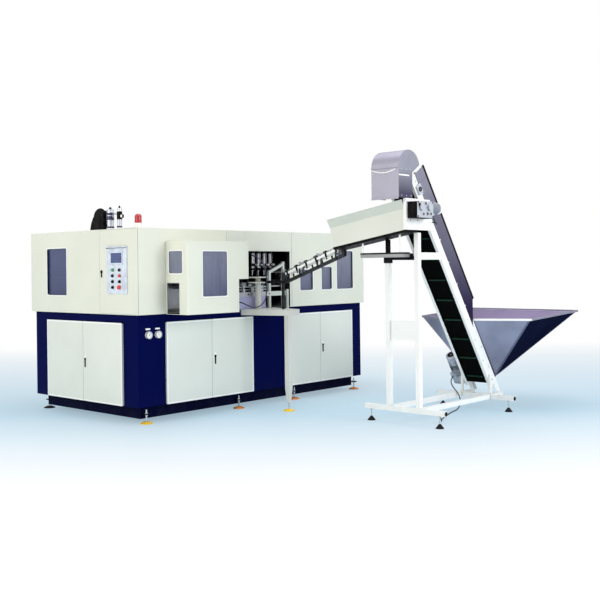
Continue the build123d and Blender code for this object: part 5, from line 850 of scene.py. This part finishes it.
def dial_bar(middle, angle, start, end, lift, thick):
    """A flat bar on a dial between two ends, each a radius and a half width."""
    out = Vector((math.sin(angle), 0, math.cos(angle)))
    across = Vector((math.cos(angle), 0, -math.sin(angle)))
    (near, near_half), (far, far_half) = start, end
    places = ((near, -near_half), (far, -far_half), (far, far_half), (near, near_half))
    corners = [middle + out * r + across * w + Vector((0, -lift, 0)) for r, w in places]
    gauges.prism(corners, (0, -thick, 0), "black", 0.0001)


for x, reading in ((-0.003, 0.9), (0.124, -0.4)):
    middle = Vector((x, -0.0692, 0.935))
    gauges.ring(middle + Vector((0, 0.003, 0)), TO_FRONT, 0.0335, 0.0402, 0.009, "chrome", 36)
    gauges.lathe(middle, TO_FRONT, [(0, 0.0336), (0.0012, 0.0336), (0.0015, 0.033)], "dial", 32)
    for k in range(MARKS + 1):
        reach, half = (0.0225, 0.0009) if k % 4 == 0 else (0.0265, 0.0004)
        angle = math.radians(SWEEP * k / MARKS - SWEEP / 2)
        dial_bar(middle, angle, (reach, half), (0.0305, half), 0.0014, 0.0005)
    dial_bar(middle, reading, (-0.007, 0.0016), (0.027, 0.0005), 0.0026, 0.0008)
    gauges.lathe(middle, TO_FRONT, [(0.001, 0.0045), (0.0042, 0.004), (0.005, 0.002)], "black", 16)
    gauges.block((x - 0.03, -0.0482, 0.989), (x + 0.03, -0.045, 1.006), "edge_white", 0.001)
gauges.build()

# Operator console: rings round the controls, bare legend plates, a black head ledge as painted shade under
# the console's head, screen frame and screws
console = Shop("console_fittings", "steel", "control_door")
CONSOLE_X = -0.185
CONTROL_ROWS, CONTROL_COLUMNS = (1.622, 1.561, 1.5, 1.439), (0.303, 0.183)
STOP = (CONTROL_ROWS[-1], CONTROL_COLUMNS[-1])
for z in CONTROL_ROWS:
    for y in CONTROL_COLUMNS:
        inner, outer, key = (0.0242, 0.0290, "dial") if (z, y) == STOP else (0.0168, 0.0208, "chrome")
        console.ring((CONSOLE_X, y, z), TO_LEFT, inner, outer, 0.0026, key, 28)
        low, high = (CONSOLE_X - 0.0016, y - 0.021, z + 0.030), (CONSOLE_X, y + 0.021, z + 0.0395)
        console.block(low, high, "dial", 0.0006)
# Painted shade: a ledge over the plate, black where shade falls under the console's head.
console.block((CONSOLE_X - 0.0055, 0.072, 1.8535), (CONSOLE_X, 0.392, 1.8625), "black", 0.0015)
console.block((CONSOLE_X - 0.010, 0.388, 1.8505), (CONSOLE_X, 0.409, 1.8645), "black", 0.002)
console.domes((CONSOLE_X,), (0.078, 0.401), (1.382, 1.838), TO_LEFT, 0.0045)
left, right, foot, head, wide = 0.130, 0.353, 1.6855, 1.8145, 0.002
for y0, y1, z0, z1 in (
    (left, right, foot - wide, foot), (left, right, head, head + wide),
    (left, left + wide, foot, head), (right - wide, right, foot, head),
):
    console.block((CONSOLE_X - 0.0032, y0, z0), (CONSOLE_X - 0.0001, y1, z1), "chrome", 0.0004)
console.build()

# Panel screws in rows, and capped lifting plugs on the roof
screws = Shop("panel_screws", "steel")
HEAD_ROW, FOOT_ROW, ROOF_TOP = 2.035, 1.178, 2.06


def row(start, end):
    """Five places at equal steps from a start to an end."""
    return [start + (end - start) * k / 4 for k in range(5)]


screws.domes(row(1.145, 2.155), (FACE_Y,), (HEAD_ROW,), TO_FRONT, 0.005)
screws.domes(row(2.225, 3.565), (FACE_Y,), (HEAD_ROW, FOOT_ROW), TO_FRONT, 0.005)
screws.domes((END_X,), row(0.585, 1.885), (HEAD_ROW, FOOT_ROW), TO_LEFT, 0.005)
screws.domes((0.24, 1.095), (BAY_FRONT,), (1.56, 1.895), TO_FRONT, 0.0045)
PLUG = [(0, 0.022), (0.006, 0.022), (0.009, 0.019), (0.0095, 0.008)]
for x, y in itertools.product((0.0, 3.43), (0.35, 1.75)):
    screws.lathe((x, y, ROOF_TOP), UPWARD, PLUG, "black", 20)
screws.build()

# Roof: black cowl over the bent pipe, bands and heads on the two vessels, a dial, ribs on the beacon
roof = Shop("roof_details", "black_plastic")
COWL_SIDE = [
    (1.352, 2.061), (1.346, 2.105), (1.328, 2.168), (1.296, 2.228), (1.254, 2.274), (1.208, 2.301),
    (1.160, 2.312), (1.104, 2.312), (1.088, 2.298), (1.084, 2.200), (1.084, 2.061),
]
roof.prism([(0.262, y, z) for y, z in COWL_SIDE], (0.106, 0, 0), "black", 0.004)
roof.block((0.252, 1.074, ROOF_TOP), (0.378, 1.362, ROOF_TOP + 0.008), "black", 0.002)
VESSEL_X = 0.315
for y, radius, top, band in ((1.021, 0.040, 2.322, "hose"), (0.847, 0.026, 2.330, "black")):
    for z, tall, key in (
        (2.075, 0.030, "edge_white"), (2.105, 0.020, "hose"), (2.188, 0.010, "chrome"),
        (2.199, top - 2.240, band), (top - 0.040, 0.014, "chrome"),
    ):
        roof.ring((VESSEL_X, y, z), UPWARD, radius - 0.002, radius + 0.005, tall, key, 28, 0.0015)
    head = [(0, 0.6), (0.008, 0.6), (0.012, 0.35), (0.024, 0.3), (0.028, 0.2)]
    head = [(along, radius * share) for along, share in head]
    roof.lathe((VESSEL_X, y, top - 0.002), UPWARD, head, "black", 20)
    roof.pipe([(VESSEL_X, y - radius, 2.235), (VESSEL_X, y - radius - 0.014, 2.235)], 0.008, "chrome")
dial_y = 0.847 - 0.055
roof.lathe((VESSEL_X, dial_y, 2.235), TO_LEFT, [(-0.006, 0.021), (0.014, 0.021), (0.017, 0.018)], "black", 22)
roof.lathe((VESSEL_X - 0.016, dial_y, 2.235), TO_LEFT, [(0, 0.0175), (0.0016, 0.017)], "edge_white", 22)
roof.pipe([(VESSEL_X, 0.889, 2.262), (VESSEL_X, 0.930, 2.270), (VESSEL_X, 0.972, 2.262)], 0.009, "alloy")
BEACON_X, BEACON_Y, RIBS = -0.035, 0.055, 14
for k in range(RIBS):
    angle = math.tau * k / RIBS
    x, y = BEACON_X + 0.0425 * math.cos(angle), BEACON_Y + 0.0425 * math.sin(angle)
    roof.pipe([(x, y, 2.062), (x, y, 2.111)], 0.0022, "edge_white", 6)
roof.ring((BEACON_X, BEACON_Y, ROOF_TOP), UPWARD, 0.042, 0.049, 0.006, "edge_white", 32, 0.0015)
roof.build()

# Infeed opening: caps and ports on the cylinders, manifold, guide rods, sensors and brackets
infeed = Shop("infeed_details", "machined")
PORT = [(0, 0.007), (0.010, 0.007), (0.010, 0.005), (0.018, 0.005), (0.019, 0.004)]
for x in (1.745, 1.845, 1.945, 2.045):
    for z in (1.600, 1.802):
        infeed.block((x - 0.026, 0.129, z), (x + 0.026, 0.181, z + 0.028), "black", 0.004)
        infeed.lathe((x, 0.131, z + 0.014), TO_FRONT, PORT, "hose", 12)
    infeed.ring((x, 0.155, 1.590), UPWARD, 0.009, 0.016, 0.010, "chrome", 18)
    for across in (-0.019, 0.019):
        infeed.pipe([(x + across, 0.133, 1.628), (x + across, 0.133, 1.802)], 0.003, "chrome", 8)
infeed.block((1.712, 0.104, 1.652), (2.078, 0.1315, 1.680), "dark_steel", 0.002)
for k in range(8):
    x = 1.735 + 0.045 * k
    key = "edge_white" if k % 2 else "black"
    infeed.block((x - 0.016, 0.084, 1.655), (x + 0.016, 0.105, 1.677), key, 0.002)
    infeed.lathe((x, 0.0845, 1.666), TO_FRONT, [(0, 0.006), (0.006, 0.006), (0.007, 0.004)], "chrome", 12)
for z in (1.372, 1.402):
    infeed.pipe([(1.150, -0.024, z), (1.840, -0.024, z)], 0.007, "chrome", 14)
for x in (1.175, 1.420, 1.715):
    infeed.block((x - 0.015, -0.040, 1.345), (x + 0.015, -0.008, 1.418), "alloy", 0.003)
    infeed.bolt((x, -0.040, 1.387), TO_FRONT, 0.005)
for x in (1.300, 1.760):
    infeed.block((x - 0.011, -0.030, 1.416), (x + 0.011, -0.008, 1.446), "black", 0.002)
    infeed.block((x - 0.014, -0.034, 1.345), (x - 0.011, -0.008, 1.446), "chrome", 0.0008)
infeed.domes((1.285, 1.745), (-0.0455,), (1.18, 1.22, 1.26), TO_FRONT, 0.005)
for x in (1.16, 1.48, 1.83, 2.12):
    infeed.bolt((x, -0.045, 1.318), TO_FRONT, 0.006)
infeed.build()

# Star wheel: hub cap and bolts that turn with it
star = Shop("star_wheel_bolts", "machined", "star_wheel")
STAR_X, STAR_Y, BOLT_RING = 1.580, -0.105, 0.060
hub_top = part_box("star_wheel")[1][Z]
HUB_CAP = [(0, 0.020), (0.003, 0.020), (0.005, 0.016), (0.0055, 0.005)]
star.lathe((STAR_X, STAR_Y, hub_top - 0.0005), UPWARD, HUB_CAP, "chrome", 24)
for k in range(6):
    angle = math.tau * (k + 0.5) / 6
    x, y = STAR_X + BOLT_RING * math.cos(angle), STAR_Y + BOLT_RING * math.sin(angle)
    star.bolt((x, y, 1.5238), UPWARD, 0.005)
star.build()

# Chute rail: side sheets, clamps and joint brackets down its slope
RAIL_TOP, RAIL_FOOT = Vector((1.577, -1.435, 1.775)), Vector((1.577, -0.565, 1.478))
rail_run = RAIL_FOOT - RAIL_TOP
rail_down = rail_run.normalized()
rail_frame = Matrix((rail_down, Vector(TO_RIGHT), Vector(TO_RIGHT).cross(rail_down))).transposed().to_4x4()
rail_frame.translation = RAIL_TOP
rail = Shop("rail_brackets", "black_plastic")
for side in (-1, 1):
    low, high = (0.03, side * 0.0432, 0.052), (rail_run.length - 0.05, side * 0.0452, 0.078)
    rail.block(low, high, "edge_white", 0.0006, rail_frame)
    y0, y1 = side * 0.0455, side * 0.0525
    for k in range(6):
        along = 0.075 + (rail_run.length - 0.16) * k / 5
        rail.block((along - 0.011, y0, 0.012), (along + 0.011, y1, 0.108), "black", 0.0015, rail_frame)
        rail.block((along - 0.026, y0, 0.086), (along + 0.026, y1, 0.104), "black", 0.0015, rail_frame)
        for off in (0.030, 0.094):
            rail.dome(rail_frame @ Vector((along, y1, off)), (side, 0, 0), 0.0045)
rail.build()

# Sorting trough's drive: a black strip of painted shadow under the case, a black strip up its left end, black
# discs of painted shade in its openings, bolts and motor fins
sorter = Shop("orienter_drive_details", "alloy")
CASE_Y, DRIVE_Y, DRIVE_Z = -2.459, -2.399, 2.215
for x, z, radius in (
    (1.500, 2.236, 0.021), (1.610, 2.252, 0.013), (1.640, 2.150, 0.014),
    (1.700, 2.150, 0.012), (1.570, 2.146, 0.012),
):
    hole = (x, CASE_Y + 0.0005, z)
    sorter.ring(hole, TO_FRONT, radius, radius + 0.005, 0.0045, "chrome", 24)
    # Painted shade: a black disc inside each ring, where the opening is dark.
    hole_shade = [(0, radius + 0.0005), (0.0022, radius + 0.0005), (0.0024, radius * 0.6)]
    sorter.lathe(hole, TO_FRONT, hole_shade, "black", 24)
for x, z in itertools.product((1.477, 1.733), (2.121, 2.264)):
    sorter.bolt((x, CASE_Y, z), TO_FRONT, 0.006)
# Painted shadow: a thin black strip under the case.
sorter.block((1.4605, -2.4555, 2.104), (1.7405, -2.3445, 2.1105), "black", 0.002)
sorter.block((1.4585, -2.4555, 2.1115), (1.4645, -2.3445, 2.270), "black", 0.002)
for k in range(10):
    fin = (1.760 + 0.0125 * k, DRIVE_Y, DRIVE_Z)
    sorter.ring(fin, TO_RIGHT, 0.0545, 0.0605, 0.0045, "alloy", 28, 0.0008)
sorter.ring((1.894, DRIVE_Y, DRIVE_Z), TO_RIGHT, 0.0540, 0.0590, 0.028, "edge_white", 28, 0.002)
FAN_END = [(0, 0.050), (0.0035, 0.049), (0.0055, 0.044)]
sorter.lathe((1.9215, DRIVE_Y, DRIVE_Z), TO_RIGHT, FAN_END, "dark_steel", 28)
sorter.domes((1.458, 1.848), (-2.339,), (2.010, 2.075, 2.290), TO_FRONT, 0.006)
sorter.build()


def slope_frame(origin):
    """A frame along the conveyor, across it and off its plane, from an origin."""
    turned = Matrix((ALONG, Vector((0, 1, 0)), OFF)).transposed().to_4x4()
    turned.translation = origin
    return turned


# Conveyor's head and sides: screws along both channels, and the upper drum's bearing blocks
belt_frame = slope_frame(FOOT)
belt_sides = Shop("conveyor_details", "black_plastic")
for side in (-1, 1):
    outward = (0, side, 0)
    y0, y1 = side * CHANNEL_HALF, side * 0.186
    for k in range(9):
        for along, off in ((0.16 + 0.285 * k, 0.030), (0.30 + 0.285 * k, -0.030)):
            belt_sides.dome(belt_frame @ Vector((along, y0, off)), outward, 0.008, 12)
    belt_sides.block((2.455, y0, -0.042), (2.560, y1, 0.042), "alloy", 0.006, belt_frame)
    belt_sides.ring(belt_frame @ Vector((2.508, y1, 0)), outward, 0.010, 0.026, 0.006, "dark_steel")
belt_sides.build()

# Folded strips down the hopper's corners, cover sheets on the conveyor's skirts, the tray's black edging
folds = Shop("sheet_folds", "steel")


def fold(start, end, inner, wide):
    """A narrow strip along an edge of a flat sheet, on the side where a third place of the sheet lies."""
    run = (end - start).normalized()
    aside = inner - start
    aside = (aside - run * aside.dot(run)).normalized()
    out = run.cross(aside)
    if out.dot(HOPPER_MIDDLE - start) > 0:
        out = -out
    start, end = start + run * 0.03, end - run * 0.03
    folds.prism([start, end, end + aside * wide, start + aside * wide], out * 0.002, "seam", 0.0006)


NEAR_SIDE, FAR_SIDE = MID_Y - CHANNEL_HALF, MID_Y + CHANNEL_HALF
MOUTH_HALF = 0.712
NEAR_MOUTH, FAR_MOUTH = MID_Y - MOUTH_HALF, MID_Y + MOUTH_HALF
HOPPER_START, HOPPER_LEFT = Vector((2.745, NEAR_SIDE, 1.026)), Vector((3.028, NEAR_MOUTH, 1.026))
HOPPER_RIGHT, HOPPER_FAR = Vector((4.145, NEAR_MOUTH, 1.076)), Vector((4.145, FAR_MOUTH, 1.076))
HOPPER_LOW, HOPPER_FAR_LOW = Vector((3.205, NEAR_SIDE, 0.360)), Vector((3.205, FAR_SIDE, 0.360))
fold(HOPPER_LEFT, HOPPER_LOW, HOPPER_START, 0.020)
fold(HOPPER_RIGHT, HOPPER_LOW, HOPPER_LEFT, 0.014)
fold(HOPPER_FAR, HOPPER_FAR_LOW, HOPPER_RIGHT, 0.014)
SKIRT_OUTLINE = ((0.736, 0.022), (2.671, 0.022), (2.671, 0.1868), (0.9812, 0.1868))
for side in (-1, 1):
    sheet = [slope_place(along, off, MID_Y + side * CHANNEL_HALF) for along, off in SKIRT_OUTLINE]
    # The cover sheets take the skirts' steel, with its painted shade low down.
    folds.prism(sheet, (0, side * 0.0012, 0), "skirt", 0.0004)
tray_low, tray_high = (Vector(corner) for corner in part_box("catch_tray"))
folds.block((tray_low.x - 0.003, tray_low.y, 1.752), (tray_low.x, tray_high.y, 1.768), "black", 0.001)
folds.block((tray_low.x, tray_low.y - 0.003, 1.752), (tray_high.x, tray_low.y, 1.768), "black", 0.001)
folds.build()

# Black end caps on the cross bars of the elevator's base
caps = Shop("elevator_caps", "black_plastic")
CAP = [(0.0, 0.0235), (0.003, 0.0235), (0.0055, 0.021), (0.006, 0.006)]
for x in (1.659, 3.024):
    for y, side in ((-2.638, -1), (-1.628, 1)):
        caps.lathe((x, y, 0.150), (0, side, 0), CAP, "black", 24)
caps.build()

# Belt motor: fins, fan cover and its dark grille
motor_frame = slope_frame(Vector((FOOT.x, MOTOR_Y, FOOT.z)))
drive = Shop("belt_motor_details", "alloy")
for k in range(12):
    fin = motor_frame @ Vector((0.078 + 0.0165 * k, 0, 0))
    drive.ring(fin, ALONG, 0.0592, 0.0655, 0.0048, "dark_steel" if 3 < k < 8 else "alloy", 30, 0.0008)
drive.ring(motor_frame @ Vector((0.290, 0, 0)), ALONG, 0.050, 0.0640, 0.032, "alloy", 30, 0.003)
drive.ring(motor_frame @ Vector((0.3285, 0, 0)), ALONG, 0.012, 0.044, 0.0025, "black", 30)
drive.build()

# Hood: white strip on its near side, bent lip on its front, and rivets
hood = Shop("hood_rivets", "steel")
hood.block((1.373, MID_Y - 0.1745, 2.533), (1.548, MID_Y - 0.1708, 2.547), "edge_white", 0.001)
lip = [(1.3695, MID_Y + 0.162 - 0.03 * k, 2.600 - 0.030 * math.sin(math.pi * k / 10)) for k in range(11)]
hood.pipe(lip, 0.0065, "edge_white", 10)
hood.domes((1.370,), (MID_Y - 0.150, MID_Y + 0.150), (2.34, 2.45, 2.56), TO_LEFT, 0.005)
hood.domes((1.42, 1.50, 1.58), (MID_Y - 0.171,), (2.335, 2.600), TO_FRONT, 0.005)
hood.build()


# Floor, backdrop and lights
def make_floor():
    """A pale floor whose blue fades to white near the camera and far behind."""
    mesh = bpy.data.meshes.new("floor")
    reach = 60
    mesh.from_pydata([(a * reach, b * reach, 0) for a, b in SQUARE], [], [(0, 1, 2, 3)])
    obj = bpy.data.objects.new("floor", mesh)
    bpy.context.scene.collection.objects.link(obj)
    material, tree, shader = new_material("floor")
    place = place_of(tree)
    depth = maths(tree, "ADD", times(tree, place["X"], math.cos(YAW)), times(tree, place["Y"], math.sin(YAW)))
    share = times(tree, span(tree, depth, -3.2, 0.6), span(tree, depth, 1.0, 9.5, 1.0, 0.0))
    share = times(tree, share, span(tree, noise(tree, coords(tree), 0.4, 3), 0.3, 0.7, 0.94, 1.0))
    white = (1.0, 1.0, 1.0)
    put(tree, shader, Base_Color=mixed(tree, share, white, (0.54, 0.71, 0.83)), Roughness=0.6)
    glow = new_node(tree, "Emission", Color=mixed(tree, share, white, (0.53, 0.73, 0.86)))
    camera_ray = new_node(tree, "LightPath").outputs["Is Camera Ray"]
    seen = times(tree, camera_ray, span(tree, depth, 3.0, 10.0, 0.55, 1.0))
    blend_shaders(tree, seen, shader, glow, "Material Output")
    mesh.materials.append(material)


def blend_shaders(tree, factor, first, second, output):
    """Mixes two shaders into a tree's output."""
    blend = new_node(tree, "MixShader")
    for slot, value in enumerate((factor, first.outputs[0], second.outputs[0])):
        feed(tree, value, blend.inputs[slot])
    put(tree, tree.nodes[output], Surface=blend.outputs[0])


def make_world():
    """White where it is seen or mirrored, and a plain grey light elsewhere."""
    world = bpy.data.worlds.new("world")
    bpy.context.scene.world = world
    world.use_nodes = True
    tree = world.node_tree
    path = new_node(tree, "LightPath").outputs
    seen = maths(tree, "MAXIMUM", path["Is Camera Ray"], path["Is Transmission Ray"])
    seen = maths(tree, "MAXIMUM", seen, path["Is Glossy Ray"])
    lit = tree.nodes["Background"]
    put(tree, lit, Color=(0.98, 0.985, 1.0), Strength=0.62)
    white = new_node(tree, "Background", Color=(1, 1, 1), Strength=1.0)
    blend_shaders(tree, seen, lit, white, "World Output")


def softbox(name, place, aim, size, power, color):
    """A square area lamp that looks at a place."""
    lamp = bpy.data.lights.new(name, "AREA")
    lamp.shape = "SQUARE"
    lamp.size = size
    lamp.energy = power
    lamp.color = color
    obj = bpy.data.objects.new(name, lamp)
    obj.location = place
    obj.rotation_euler = (Vector(aim) - Vector(place)).to_track_quat("-Z", "Y").to_euler()
    bpy.context.scene.collection.objects.link(obj)


make_camera()
make_floor()
make_world()
softbox("key_left", (-9.5, 0.8, 5.0), (0.0, 0.5, 1.0), 4.5, 375, (1.0, 0.955, 0.86))
softbox("fill_front", (3.4, -11.0, 4.8), (1.8, -0.5, 1.0), 5.0, 475, (0.96, 0.98, 1.0))
softbox("top", (2.0, -1.0, 9.0), (2.0, -1.0, 0.0), 6.0, 260, (1.0, 1.0, 1.0))
